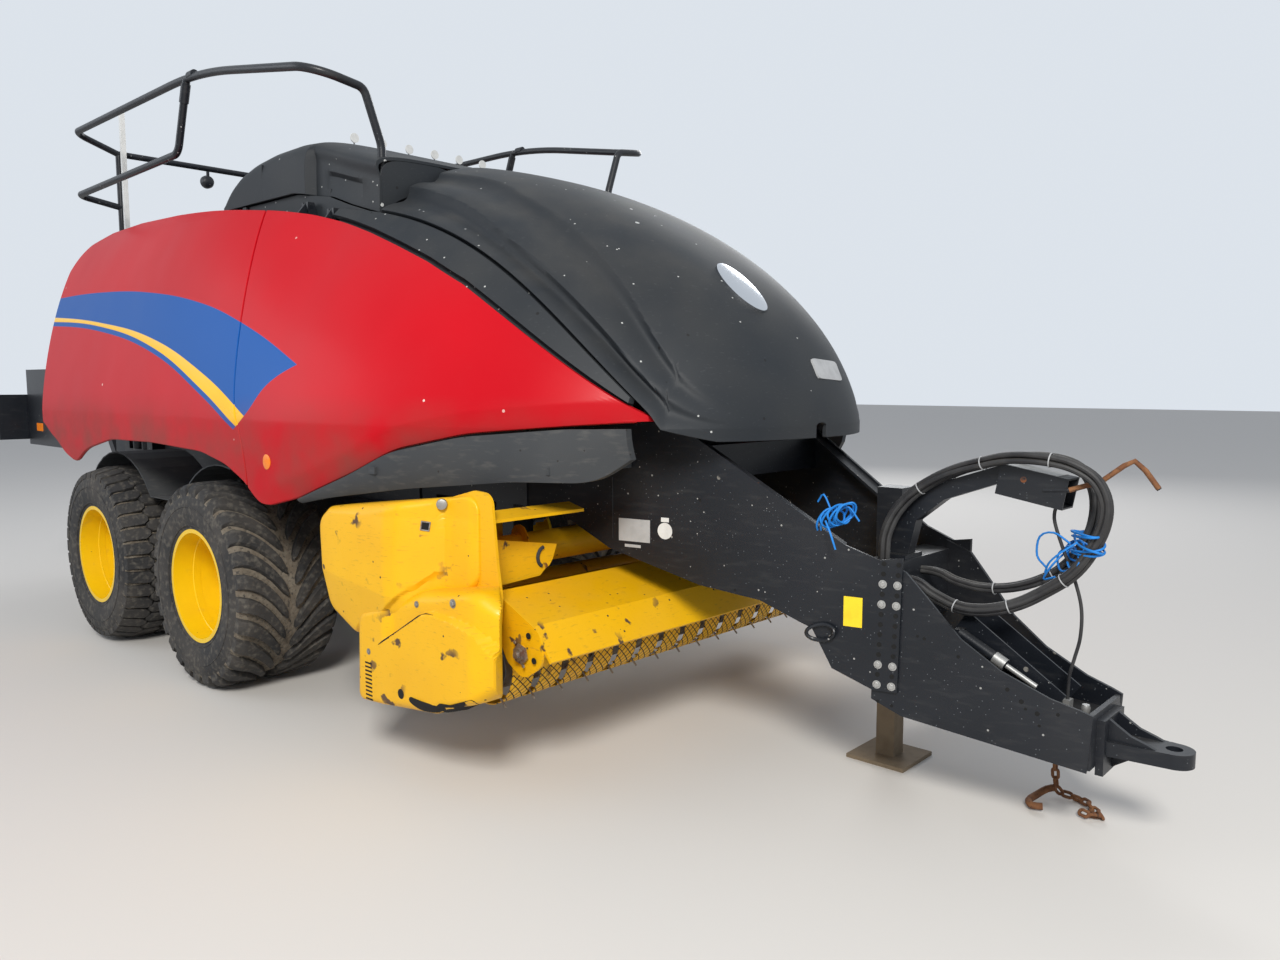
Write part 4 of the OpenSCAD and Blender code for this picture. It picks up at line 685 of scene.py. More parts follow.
# Hood: one large plastic moulding that opens upwards on two lugs. Two ridges run down each side, with a shallow
# valley pressed beside each. The ridges are rows of x and z.
RIDGE_OUTER = [
    (0.7, 2.53), (0.902, 2.478), (1.228, 2.367), (1.631, 2.148), (1.938, 1.943), (2.192, 1.72), (2.361, 1.511),
    (2.5, 1.4)]
RIDGE_INNER = [
    (0.7, 2.62), (1.131, 2.527), (1.636, 2.297), (1.978, 2.074), (2.233, 1.819), (2.392, 1.586), (2.5, 1.44)]
HOOD_X0, HOOD_T, LIP_X, LIP_Z, LIP_REACH, HOOD_GAP = 0.74, 0.02, 2.35, 1.35, 0.16, 0.9
VALLEY_OUTER, VALLEY_INNER, RIDGE_SOFTEN = 0.04, 0.03, 0.14
VALLEY_END_X, VALLEY_FADE, VALLEY_LEAN = 2.55, 0.35, 2.2
LUG = [(0.698, 2.652), (0.698, 2.676), (0.712, 2.679), (0.742, 2.669), (0.82, 2.652), (0.82, 2.615), (0.742, 2.636)]


def plate(outline, y0, y1):
    """A plate whose outline of x and z runs from y0 to y1."""
    return prism([(x, 0, z) for x, z in outline], (0, y1 - y0, 0), start=(0, y0, 0))


def hood_lip(x):
    """Angle of the hood's lower edge: along the roof band, then down to the lip at the nose."""
    t = clamp((x - LIP_X) / LIP_REACH)
    return (hood_line(x) + HOOD_GAP) * (1 - t) + (LIP_Z - WAIST) / WALL_PER_DEGREE * t


def hood_sink(x, phi):
    """Depth of the valleys: a sin(pi t ^ lean) up to each ridge, steep beside it and fading towards the nose."""
    outer, inner = (phi_at(x, lookup(x, ridge, RIDGE_SOFTEN)) for ridge in (RIDGE_OUTER, RIDGE_INNER))
    t = clamp((phi - hood_line(x)) / np.maximum(outer - hood_line(x), 1.0))
    s = clamp((phi - outer) / np.maximum(inner - outer, 1.0))
    return ease((VALLEY_END_X - x) / VALLEY_FADE) * sum(
        deep * np.sin(np.pi * share ** VALLEY_LEAN) * (share < 1)
        for deep, share in ((VALLEY_OUTER, t), (VALLEY_INNER, s)))


def hood_grid(inset):
    """Hood points: rows crowd towards the nose, columns run over the crown from lip to lip."""
    u = np.linspace(0, 1, 111)[:, None]
    v = np.linspace(-1, 1, 141)[None, :]
    x = HOOD_X0 + (NOSE_X - inset - HOOD_X0) * np.sin(np.radians(89 * u)) + 0 * v
    low = hood_lip(x)
    phi = low + (90 - low) * (1 - np.abs(v))
    points = body_at(x, phi, inset + hood_sink(x, phi))
    points[..., 1] *= np.where(v < 0, 1, -1)
    return points


hood = [shell(hood_grid(0.0), hood_grid(HOOD_T))] + [plate(LUG, y - 0.012, y + 0.012) for y in (-0.15, 0.15)]
piece("hood_skin", hood, "hood", HOOD, 40, 0.003, node="hood")

# Boss and plate on the hood's nose: an oval boss of polished metal and a white plate, both left blank and stuck on.
# Each row is the name, x, y, half length, half width, power of the outline, height and the sharpest smooth angle.
LABEL = plain("blank_label", (0.42, 0.43, 0.44), 0.45)
CHROME = Finish("polished_metal", (0.62, 0.64, 0.67), 0.16, metal=1.0).done()


def on_hood(x, y):
    """Point of the hood at x and y, and the direction out of it."""
    def point(px, py):
        phi = np.linspace(40, 90, 2001)
        line = body_at(np.array(px), phi)
        return line[np.argmin(np.abs(-line[:, 1] - abs(py)))] * (1, -1 if py > 0 else 1, 1)
    at = point(x, y)
    out = np.cross(point(x + 0.01, y) - at, point(x, y + 0.01) - at)
    return at, out / np.linalg.norm(out) * np.sign(out[2])


def patch_on_hood(x, y, half_x, half_y, power, height, rings=6, sides=40):
    """A low dome on the hood: |u| ^ power + |v| ^ power = 1 of its half sizes, rising as a sine to its height."""
    middle, out = on_hood(x, y)
    along = np.cross((0, 1, 0), out)
    along /= np.linalg.norm(along)
    side = np.cross(out, along)
    w = np.linspace(0, 2 * np.pi, sides, endpoint=False)[:, None]
    edge = (np.abs(np.cos(w)) ** power + np.abs(np.sin(w)) ** power) ** (-1 / power)
    flat = edge * (along * np.cos(w) * half_x + side * np.sin(w) * half_y)
    t = np.arange(rings + 1) / rings
    shares = np.append(1.0, 1 - 0.9 * t)[:, None, None]
    rises = np.append(-0.012, height * np.sin(0.5 * np.pi * (0.3 + 0.7 * t)))[:, None, None]
    return loft(middle + flat * shares + out * rises)


piece("hood_boss", [patch_on_hood(2.305, -0.115, 0.155, 0.088, 2.0, 0.014)], "hood", CHROME, 60)
piece("hood_plate_blank", [patch_on_hood(2.568, 0.148, 0.046, 0.115, 12.0, 0.003)], "hood", LABEL,
      30)

# Knotter cover: the plastic hump behind the hood. Its front part steps in at an upright crease and holds recessed
# vents. It stands on four brackets over an apron, and six indicator discs stand up through it.
COVER_X0, COVER_X1, COVER_HALF, COVER_T = -0.79, 0.706, 0.87, 0.016
COVER_TOP = [
    (-0.79, 2.562), (-0.765, 2.62), (-0.7, 2.7), (-0.6, 2.765), (-0.45, 2.808), (-0.25, 2.832), (0.0, 2.836),
    (0.14, 2.826), (0.2, 2.808), (0.4, 2.744), (0.6, 2.684), (0.715, 2.652)]
COVER_FOOT = [(-0.79, 2.548), (0.0, 2.548), (0.3, 2.5), (0.48, 2.44), (0.715, 2.375)]
COVER_POWER = [(-0.79, 6.5), (0.2, 6.5), (0.715, 8.0)]
CREASE_X, CREASE_T, STEP_DEPTH, VENT_DEPTH = 0.13, 0.012, 0.052, 0.022
# Stretches of x and of the share of the height that the vents take, each with the softness of its edges
VENT_X, VENT_SHARE = (0.24, 0.66, 0.012), (0.16, 0.42, 0.03)
APRON = [(-0.78, 2.545), (0.0, 2.545), (0.3, 2.498), (0.48, 2.438), (0.69, 2.378), (0.69, 2.3), (-0.78, 2.3)]
DISC_Y = [-0.445, -0.267, -0.089, 0.089, 0.267, 0.445]


def within(v, low, high, soft):
    """Rises from 0 to 1 over the distance soft past low, and falls again before high."""
    return ease((v - low) / soft) * ease((high - v) / soft)


def cover_grid(inset):
    """Cover points: z = foot + rise sin(w) ^ (2 / p), y = half cos(w) ^ (2 / p) in each section."""
    crease = CREASE_X + np.array([-CREASE_T, CREASE_T])
    x = np.unique(np.concatenate([np.linspace(COVER_X0, COVER_X1, 76), crease]))[:, None]
    w = np.linspace(0, 180, 97)[None, :]
    p = lookup(x, COVER_POWER)
    foot = lookup(x, COVER_FOOT)
    rise = np.maximum(0.004, lookup(x, COVER_TOP, 0.03) - inset - foot)
    share = np.sin(np.radians(w)) ** (2 / p)
    step = STEP_DEPTH * clamp((x - crease[0]) / (2 * CREASE_T)) * (1 - ease((share - 0.55) / 0.4))
    vent = VENT_DEPTH * within(x, *VENT_X) * within(share, *VENT_SHARE)
    cos = np.cos(np.radians(w))
    y = -(COVER_HALF - inset - step - vent) * np.sign(cos) * np.abs(cos) ** (2 / p)
    return np.stack([x + 0 * w, y, foot + rise * share + 0 * x], axis=-1)


w = np.radians(np.arange(0, 90, 9))[:, None]
p = COVER_POWER[-1][1]
wall = np.hstack([-(COVER_HALF - 0.058) * np.cos(w) ** (2 / p), 2.375 + 0.272 * np.sin(w) ** (2 / p)]).tolist()
wall += [(-0.22, 2.6), (-0.5, 2.54), (-0.7, 2.45), (-0.8, 2.385)]
right = [prism([(0.694, y, z) for y, z in wall], (0.01, 0, 0))]
for x, shift in ((-0.56, 0.0), (0.25, 0.045)):
    right.append(box((x - 0.02, -0.862 + shift, 2.25), (x + 0.02, -0.792 + shift, 2.545)))
    right.append(box((x - 0.02, -0.862, 2.23), (x + 0.02, -0.8, 2.25)))
# The apron lies inside the panels' hinge pins, and a seam shows where the mouldings meet
right += [plate(APRON, -0.846, -0.838), box((-0.335, -0.8702, 2.56), (-0.33, -0.855, 2.74))]
discs = [box((-0.103, y - 0.003, 2.8), (-0.097, y + 0.003, 2.93)) for y in DISC_Y]
piece("knotter_cover_skin", [shell(cover_grid(0.0), cover_grid(COVER_T))] + both_sides(right) + discs, "chassis",
      HOOD, 30, 0.002, node="knotter_cover")

# Guard rails: bent steel tube round the walkway, welded at the joints, with a round work lamp under the rear cross
# rail. The white mast and the white discs that show the state of the twine stand beside them.
RAIL_R, RAIL_Y, RAIL_END_X, RAIL_POST_Y, RAIL_TOP, RAIL_LEG_X = 0.02, 1.13, -2.29, 0.87, 3.095, 0.668
PLATFORM_Y, PLATFORM_Z = 0.78, 2.25
LAMP_Y, LAMP_Z = -0.276, 3.005
WHITE = plain("white_plastic", (0.7, 0.71, 0.7), 0.4)


def bent(rows, steps=9):
    """A path through rows of (point, bend radius): each corner is an arc P(w) = middle + a cos w + b sin w."""
    path = [np.array([rows[0][0]], float)]
    for (a, _), (c, r), (b, _) in zip(rows, rows[1:], rows[2:]):
        c = np.array(c, float)
        u, v = np.array(a) - c, np.array(b) - c
        u, v = u / np.linalg.norm(u), v / np.linalg.norm(v)
        half = math.acos(np.clip(u @ v, -1, 1)) / 2
        middle = c + (u + v) / np.linalg.norm(u + v) * r / math.sin(half)
        start = c + u * r / math.tan(half) - middle
        w = np.linspace(0, math.pi - 2 * half, steps + 1)[:, None]
        path.append(middle + start * np.cos(w) - u * r * np.sin(w))
    return np.concatenate(path + [np.array([rows[-1][0]], float)])


right = [tube(bent(rows), RAIL_R, 20) for rows in (
    [((RAIL_END_X, -RAIL_POST_Y, 3.093), 0), ((RAIL_END_X, -RAIL_Y, 3.187), 0.07), ((-0.452, -RAIL_Y, 3.187), 4.0),
     ((0.664, -RAIL_Y, 2.984), 0.15), ((RAIL_LEG_X, -0.862, 2.945), 0.055), ((RAIL_LEG_X, -0.775, 2.7), 0.15),
     ((RAIL_LEG_X, -0.775, 2.39), 0)],
    [((-0.6, -RAIL_Y, 3.187), 0), ((-0.748, -RAIL_Y, 2.818), 0.08), ((RAIL_END_X, -RAIL_Y, 2.79), 0.06),
     ((RAIL_END_X, -RAIL_POST_Y, 2.745), 0)],
    [((RAIL_END_X, -RAIL_POST_Y, RAIL_TOP), 0), ((RAIL_END_X, -RAIL_POST_Y, 2.385), 0.06),
     ((RAIL_END_X, -PLATFORM_Y, 2.295), 0.05), ((RAIL_END_X, -PLATFORM_Y, PLATFORM_Z), 0)])]
# Sleeves at the welded joint
right += [tube([(-0.612, -RAIL_Y, 3.157), (-0.648, -RAIL_Y, 3.067)], 0.0245, 20),
          tube([(-0.5, -RAIL_Y, 3.187), (-0.56, -RAIL_Y, 3.187)], 0.0235, 20)]
middle = [
    tube([(RAIL_END_X, -RAIL_POST_Y, RAIL_TOP), (RAIL_END_X, RAIL_POST_Y, RAIL_TOP)], RAIL_R, 20),
    lathe((-2.325, LAMP_Y, LAMP_Z), (1, 0, 0),
          [(0, 0.03), (0, 0.042), (0.006, 0.045), (0.03, 0.045), (0.052, 0.036), (0.06, 0.02)], 32),
    box((-2.298, LAMP_Y - 0.008, LAMP_Z), (-2.282, LAMP_Y + 0.008, RAIL_TOP))]
piece("guard_rail_tubes", both_sides(right) + middle, "chassis", BLACK, 40, node="guard_rails")
lamp_face = lathe((-2.3255, LAMP_Y, LAMP_Z), (-1, 0, 0), [(0, 0.037), (0.002, 0.036), (0.004, 0.0)], 32)
piece("work_lamp_glass", [lamp_face], "chassis", LABEL, 40)
keep(WHITE, {0.001: "twine_indicators", 0.003: "indicator_mast"})

# Wheels: wide flotation tyres of worn black rubber on deep dished rims of yellow steel, bolted to the hubs. The
# front pair has curved lugs, the rear pair rows of worn blocks, and dust has settled in the grooves of both.
TYRE_R, TYRE_W, TRACK, RIM_R = 0.535, 0.56, 2.22, 0.298
AXLES = {"front": -0.22, "rear": -1.61}
BEAD_R = RIM_R - 0.012
# The bead rings stand out of the side wall by this much, inside the width of the tyre
BEAD_PROUD = 0.0035
GROOVE_DEPTH, TREAD_HALF = 0.03, 0.262
LUGS, LUG_SWEEP = 28, 23.0
BLOCKS = 38
DISC_IN, NUTS, NUT_CIRCLE_R = 0.044, 10, 0.115
RUBBER = (Finish("tyre_rubber", (0.016, 0.016, 0.017), 0.72)
          .patches((4.0, 0.35, 0.75), (0.055, 0.05, 0.045), 0.85)
          .patches((38.0, 0.5, 0.75), (0.16, 0.145, 0.12), 0.92, share=0.55)
          .grain(0.0012, 90.0, 0.3, 0.8).done())
GROOVE = (Finish("groove_dust", (0.135, 0.112, 0.085), 0.95)
          .patches((20.0, 0.4, 0.7), (0.19, 0.165, 0.13), 0.97)
          .patches((60.0, 0.55, 0.7), (0.05, 0.045, 0.04), 0.9)
          .grain(0.003, 70.0, 0.3, 0.8).done())
RIM = (Finish("rim_paint", (0.86, 0.56, 0.004), 0.36, coat=0.3)
       .patches((5.0, 0.35, 0.75), (0.8, 0.5, 0.004), 0.42)
       .patches((16.0, 0.6, 0.8), (0.4, 0.26, 0.06), 0.7, share=0.3)
       .specks((34.0, 0.08, 0.08), (0.12, 0.08, 0.03), 0.8).done())


def bolt(centre, axis, size, washer=True):
    """A hexagon head with a chamfered top, and its washer if wanted."""
    shapes = [lathe(centre, axis, [(0.0, size), (size * 0.62, size), (size * 0.75, size * 0.82)], 6)]
    if washer:
        shapes.append(lathe(centre, axis, [(0.0, size * 1.45), (size * 0.22, size * 1.45)], 20))
    return shapes


def carcass(centre):
    """The closed ring under the tread, turned from its half section of (distance from the middle, radius)."""
    wall, foot = TYRE_W / 2 - BEAD_PROUD, TYRE_R - GROOVE_DEPTH
    half = curve([(wall - 0.03, 0, BEAD_R), (wall - 0.012, 0, BEAD_R + 0.035), (wall, 0, BEAD_R + 0.105),
                  (wall - 0.006, 0, foot - 0.055), (wall - 0.03, 0, foot - 0.016), (wall - 0.075, 0, foot - 0.004),
                  (0, 0, foot)])[:, [0, 2]]
    rows = [(-d, r) for d, r in half] + [(d, r) for d, r in half[::-1][1:]]
    shapes = [lathe(centre, (0, 1, 0), rows, 96, ring_shaped=True)]
    w = np.linspace(0, 2 * np.pi, 73)[:, None]
    for out in (-1, 1):
        for r, size in ((BEAD_R + 0.012, 0.004), (BEAD_R + 0.03, 0.004), (BEAD_R + 0.125, 0.003)):
            y = np.interp(r, half[:, 1], half[:, 0]) * out
            shapes.append(tube(centre + (0, y, 0) + r * (np.cos(w) * (1, 0, 0) + np.sin(w) * (0, 0, 1)), size, 6,
                               caps=False))
    return shapes


def on_tread(centre, out, dist, angle, radius):
    """Point at a distance from the middle, an angle in degrees up from +X, and a radius."""
    a = np.radians(angle)
    return np.stack([centre[0] + radius * np.cos(a), centre[1] + out * dist + 0 * a,
                     centre[2] + radius * np.sin(a)], axis=-1)


def curved_lugs(centre):
    """Lugs that leave the shoulder level and sweep down to the middle: turn = sweep (1 - (1 - t) ^ 1.9)."""
    t = np.linspace(0, 1, 13)
    dist = 0.022 + 0.243 * t
    turn = LUG_SWEEP * (1 - (1 - t) ** 1.9)
    half = np.degrees(np.interp(t, [0, 0.05, 0.15, 0.5, 1], [0.016, 0.028, 0.033, 0.035, 0.037]) / TYRE_R)
    top = TYRE_R - np.interp(t, [0, 0.06, 0.8, 0.93, 1.0], [0.01, 0.0, 0.003, 0.014, 0.034])
    section = ((-1.22, 0.042), (-1.0, 0.003), (-0.9, 0.0), (0.9, 0.0), (1.0, 0.003), (1.22, 0.042))
    shapes = []
    for out in (-1, 1):
        for k in range(LUGS):
            a = 360 * (k + (0.5 if out > 0 else 0)) / LUGS + turn
            rows = [on_tread(centre, out, dist, a + half * s, top - d) for s, d in section]
            shapes.append(loft(np.stack(rows, axis=1)))
    return shapes


def worn_blocks(centre):
    """Two rows of six-sided blocks on each half, the inner row set half a pitch on from the outer one."""
    pitch = 360 / BLOCKS
    outlines = [(0.0, [(0.262, -0.4), (0.262, 0.4), (0.15, 0.4), (0.122, 0.14), (0.122, -0.14), (0.15, -0.4)]),
                (0.5, [(0.135, -0.16), (0.135, 0.16), (0.108, 0.4), (0.032, 0.4), (0.008, 0.16), (0.008, -0.16),
                       (0.032, -0.4), (0.108, -0.4)])]
    shapes = []
    for out in (-1, 1):
        for shift, outline in outlines:
            d, turn = np.array(outline).T
            mid_d, top = d.mean(), TYRE_R - 0.004 - 0.03 * ease((d - 0.2) / 0.07)
            for k in range(BLOCKS):
                a = pitch * (k + shift + (0.25 if out > 0 else 0))
                rows = [on_tread(centre, out, mid_d + (d - mid_d) * share, a + turn * pitch * share, top - deep)
                        for share, deep in ((1.06, 0.034), (1.0, 0.003), (0.94, 0.0))]
                shapes.append(loft(np.stack(rows)))
    return shapes


def hub_shapes(centre, side):
    """The hub's cap, a ring on the disc, a ring in the dish, and the wheel nuts on their circle."""
    hub, out = centre - (0, side * DISC_IN, 0), np.array([0, side, 0])
    shapes = [lathe(hub + out * 0.068, out, [(0, 0.062), (0.02, 0.06), (0.032, 0.045), (0.036, 0.0)], 32),
              lathe(hub, out, [(0.01, 0.15), (0.018, 0.15), (0.018, 0.135)]),
              lathe(centre, out, [(0.105, 0.2865), (0.112, 0.272), (0.15, 0.27), (0.162, 0.2865)], 96,
                    ring_shaped=True)]
    for a in 2 * np.pi * np.arange(NUTS) / NUTS:
        shapes += bolt(hub + (NUT_CIRCLE_R * math.cos(a), side * 0.014, NUT_CIRCLE_R * math.sin(a)), out, 0.013)
    return shapes


for axle, x in AXLES.items():
    for side_name, side in (("right", -1), ("left", 1)):
        wheel = f"{axle}_{side_name}"
        body = f"wheel_{wheel}"
        centre = np.array([x, side * TRACK / 2, TYRE_R])
        made = piece(f"tyre_{wheel}_carcass", carcass(centre), body, RUBBER, 40,
                     node=f"tyre_{wheel}")
        made.data.materials.append(GROOVE)
        middles = np.empty(len(made.data.polygons) * 3)
        made.data.polygons.foreach_get("center", middles)
        across, out, up = (middles.reshape(-1, 3) - centre).T
        tread = (np.abs(out) < TREAD_HALF) & (np.hypot(across, up) > TYRE_R - GROOVE_DEPTH - 0.045)
        made.data.polygons.foreach_set("material_index", tread.astype(int))
        lugs = curved_lugs(centre) if axle == "front" else worn_blocks(centre)
        piece(f"tyre_{wheel}_tread", lugs, body, RUBBER, 40)
        piece(f"wheel_nuts_{wheel}", hub_shapes(centre, side), body, RIM, 35)
        keep(RIM, {0.002: f"rim_{wheel}"})
keep(GUARD, {0.002: "mudguards"})

# Markers: small amber lenses on the side panels, each a low plastic dome pressed into a hole. The rear ones lie at
# the machine's full width.
AMBER = plain("amber_lens", (0.85, 0.22, 0.01), 0.2)
MARKER_Y = 1.386
for part, x, z in (("front", 0.612, 1.222), ("rear", -1.976, 1.237)):
    for side_name, side in (("right", -1), ("left", 1)):
        at = body_at(np.array(x), phi_at(np.array(x), np.array(z))) * (1, -side, 1)
        at[1] = np.clip(at[1], -MARKER_Y, MARKER_Y)
        dome = lathe(at, (0, side, 0), [(-0.012, 0.034), (0.001, 0.034), (0.003, 0.024), (0.0035, 0.0)], 32)
        piece(f"marker_{part}_{side_name}", [dome], f"panel_{part}_{side_name}", AMBER, 50)

# Fittings on the side plates of the frame: steel bolts and drilled holes in two columns, a welded tow loop, a seam,
# and blank plates, marks and stickers. The plates stand at a slope to the line of travel.
FRAME_X, FRAME_Y, FRAME_SLOPE = 1.5, -0.622, math.tan(math.radians(11))
FRAME_OUT = np.array([FRAME_SLOPE, -1, 0]) / math.hypot(FRAME_SLOPE, 1)
BOLTED = (2, 4, 10, 12)
# Single holes on the plate, and those in the recessed drawbar: x, z and radius
HOLES = [(2.517, 0.761, 0.006), (2.362, 1.109, 0.006)]
DRAWBAR_HOLES = [
    (3.527, 0.527, 0.007), (3.573, 0.492, 0.008), (3.587, 0.469, 0.005), (3.624, 0.459, 0.008),
    (3.632, 0.418, 0.005), (3.688, 0.467, 0.006), (3.245, 0.665, 0.006), (3.363, 0.617, 0.006),
    (3.085, 0.407, 0.006), (3.136, 0.399, 0.006), (3.221, 0.671, 0.005)]
LOOP_X, LOOP_Z, LOOP_WIRE = 2.872, 0.642, 0.0085
SILVER = plain("bolt_steel", (0.42, 0.42, 0.41), 0.4, 0.6)
# Near black: paint worn through on the covers, and painted shade in holes, hollows, slots and the crease.
WEAR_AND_SHADE = plain("worn_paint_and_hollow_shade", (0.006, 0.006, 0.006), 0.9)
STICKER = plain("yellow_sticker", (0.85, 0.62, 0.02), 0.4)


def on_frame(x, z, out=0.0):
    """Points over the right frame plate, whose face is y = y0 + slope (x - x0), at the distance out from it."""
    return np.stack([x, FRAME_Y + FRAME_SLOPE * (x - FRAME_X), z], axis=-1) + np.multiply.outer(out, FRAME_OUT)


def label(x0, x1, z0, z1, thick=0.0015):
    """A flat blank label on the right frame plate."""
    corners = [on_frame(x, z, -0.002) for x, z in ((x0, z0), (x1, z0), (x1, z1), (x0, z1))]
    return prism(corners, FRAME_OUT * (0.002 + thick))


def disc(at, out, radius):
    """A thin dark disc of painted shade that stands for a drilled hole."""
    return lathe(at, out, [(-0.003, radius), (0.0008, radius)], 20)


# Holes without a bolt, and the single holes, are dark discs of painted shade.
columns = [(i, 3.099 + dx - 0.0013 * i, 0.924 - 0.0375 * i) for i in range(13) for dx in (0.0, 0.053)]
bolts, holes = [], []
for i, x, z in columns:
    if i in BOLTED:
        bolts += bolt(on_frame(x, z), FRAME_OUT, 0.0105)
    else:
        holes.append(disc(on_frame(x, z), FRAME_OUT, 0.009))
holes += [disc(on_frame(x, z), FRAME_OUT, r) for x, z, r in HOLES]
holes += [disc(on_frame(x, z, -0.012), FRAME_OUT, r) for x, z, r in DRAWBAR_HOLES]
# The loop's wire follows an oval that rises from the plate twice a turn
w = np.linspace(0, 2 * np.pi, 33)[:-1]
loop = on_frame(LOOP_X + 0.052 * np.cos(w) + 0.012 * np.sin(w), LOOP_Z + 0.031 * np.sin(w),
                0.013 + 0.006 * np.cos(2 * w))
outwards = np.stack([np.cos(w) * 0.98, 0 * w, np.sin(w)], axis=1)
tow_loop = loft([loop + LOOP_WIRE * (FRAME_OUT * math.sin(b) + outwards * math.cos(b))
                 for b in np.linspace(0, 2 * np.pi, 11)], caps=False)
plate_seam = tube([on_frame(1.955, 0.92), on_frame(1.955, 1.18)], 0.0022, 6)
round_mark = lathe(on_frame(2.204, 0.971), FRAME_OUT, [(-0.002, 0.034), (0.0015, 0.034)], 40)
for name, shapes, finish, slot in (
        ("bolts", bolts, SILVER, "bare_steel"), ("holes", holes, WEAR_AND_SHADE, "frame_paint"),
        ("tow_loops", [tow_loop, plate_seam], BLACK, "frame_paint"),
        ("plates_blank", [label(1.985, 2.134, 0.915, 1.01), label(2.014, 2.09, 0.89, 0.902)], LABEL,
         "hood_plastic"),
        ("marks_blank", [label(2.186, 2.222, 1.008, 1.026), round_mark], WHITE, "white_plastic"),
        ("stickers_blank", [label(2.954, 3.024, 0.677, 0.789)], STICKER, "pickup_paint")):
    piece(f"frame_{name}", both_sides(shapes), "chassis", finish, 35)

# On the drawbar: a steering ram of painted and bright steel in its cradle, a worn steel cap on the hose arm, the
# rusty hook that is bent up from it, and a pale knob by the hitch.
RAM_FOOT, RAM_HEAD = np.array([3.3, -0.112, 0.668]), np.array([3.59, -0.112, 0.522])
RAM_WAY = (RAM_HEAD - RAM_FOOT) / np.linalg.norm(RAM_HEAD - RAM_FOOT)
ARM_TILT, ARM_HALF = math.radians(10), 0.0575
HOOK = [(3.645, -0.05, 1.211), (3.737, -0.02, 1.244), (3.8, 0.005, 1.3), (3.828, 0.02, 1.316),
        (3.86, 0.03, 1.285), (3.9, 0.04, 1.227)]
IRON = (Finish("rusty_iron", (0.15, 0.06, 0.025), 0.85)
        .patches((26.0, 0.4, 0.7), (0.26, 0.12, 0.05), 0.9)
        .patches((70.0, 0.55, 0.7), (0.05, 0.025, 0.015), 0.8)
        .grain(0.0008, 140.0, 0.3, 0.8).done())
barrel = [(0.0, 0.012), (0.004, 0.021), (0.17, 0.021), (0.172, 0.021), (0.196, 0.021), (0.2, 0.014)]
piece("ram_barrel", [lathe(RAM_FOOT, RAM_WAY, barrel, 24), box((3.285, -0.125, 0.62), (3.315, -0.078, 0.68))],
      "chassis", BLACK, 35)
piece("ram_rod", [lathe(RAM_FOOT, RAM_WAY, [(0.15, 0.0235), (0.196, 0.0235), (0.198, 0.01), (0.32, 0.01)], 20),
                  box((3.645, -0.02, 0.416), (3.668, 0.02, 0.47)),
                  lathe((3.723, -0.02, 0.44), (0, 0, 1), [(0, 0.012), (0.018, 0.016), (0.03, 0.012)], 20)],
      "chassis", SILVER, 35)
cap = [(3.4 + x * math.cos(ARM_TILT) + ARM_HALF * math.sin(ARM_TILT), y,
        1.232 - x * math.sin(ARM_TILT) + ARM_HALF * math.cos(ARM_TILT))
       for x, y in ((0.004, -0.051), (0.2, -0.051), (0.2, 0.051), (0.004, 0.051))]
piece("arm_cap_steel", [prism(cap, (0.0004, 0, 0.0022))], "chassis", SILVER, 35)
piece("arm_hook_rust", [tube(HOOK, 0.0092)], "chassis", IRON, 60)

# Ties: blue twine wound and knotted round the ends of the hoses and on the drawbar, and pale plastic straps that
# hold the hoses of each bundle together.
TWINE = plain("blue_twine", (0.01, 0.2, 0.62), 0.6)
TWINE_R = 0.0038
# Loose ends of the twine
TWINE_ENDS = [
    [(3.66, 0.07, 1.01), (3.62, 0.03, 0.985), (3.585, 0.0, 0.94), (3.555, 0.0, 0.885), (3.6, -0.02, 0.9)],
    [(3.66, -0.06, 1.03), (3.6, -0.05, 1.06), (3.55, -0.04, 1.04), (3.54, -0.03, 0.97), (3.57, -0.02, 0.93)],
    [(3.69, -0.08, 1.04), (3.64, -0.09, 1.0), (3.6, -0.08, 0.96), (3.58, -0.06, 0.92)],
    [(2.9, -0.39, 1.07), (2.93, -0.405, 1.03), (2.95, -0.4, 0.97)],
    [(2.89, -0.34, 1.11), (2.86, -0.34, 1.16), (2.83, -0.33, 1.13)],
    [(2.92, -0.34, 1.1), (2.96, -0.33, 1.12), (3.0, -0.32, 1.07)]]
# Straps: their route, inner radius, and places as shares of the route
STRAPS = [(UPPER_ROUTE, UPPER_BUNDLE_R + 0.0005, (0.16, 0.3, 0.42, 0.7, 0.8, 0.9)),
          (LOWER_ROUTE, LOWER_BUNDLE_R + 0.0005, (0.22, 0.36, 0.72, 0.84))]
STRAP_HALF, STRAP_T = 0.002, 0.0014


def wound(centre, across, up, along, turns):
    """Loose turns round a bundle: P(t) = centre + across cos t + up sin t + along sin(0.37 t), with a wobble."""
    t = np.linspace(0, 2 * np.pi * turns, int(26 * turns))[:, None]
    a, b, c = (np.array(v) for v in (across, up, along))
    return (np.array(centre) + a * np.cos(t) * (1 + 0.1 * np.sin(1.7 * t))
            + b * np.sin(t) * (1 + 0.14 * np.cos(2.3 * t)) + c * np.sin(0.37 * t))


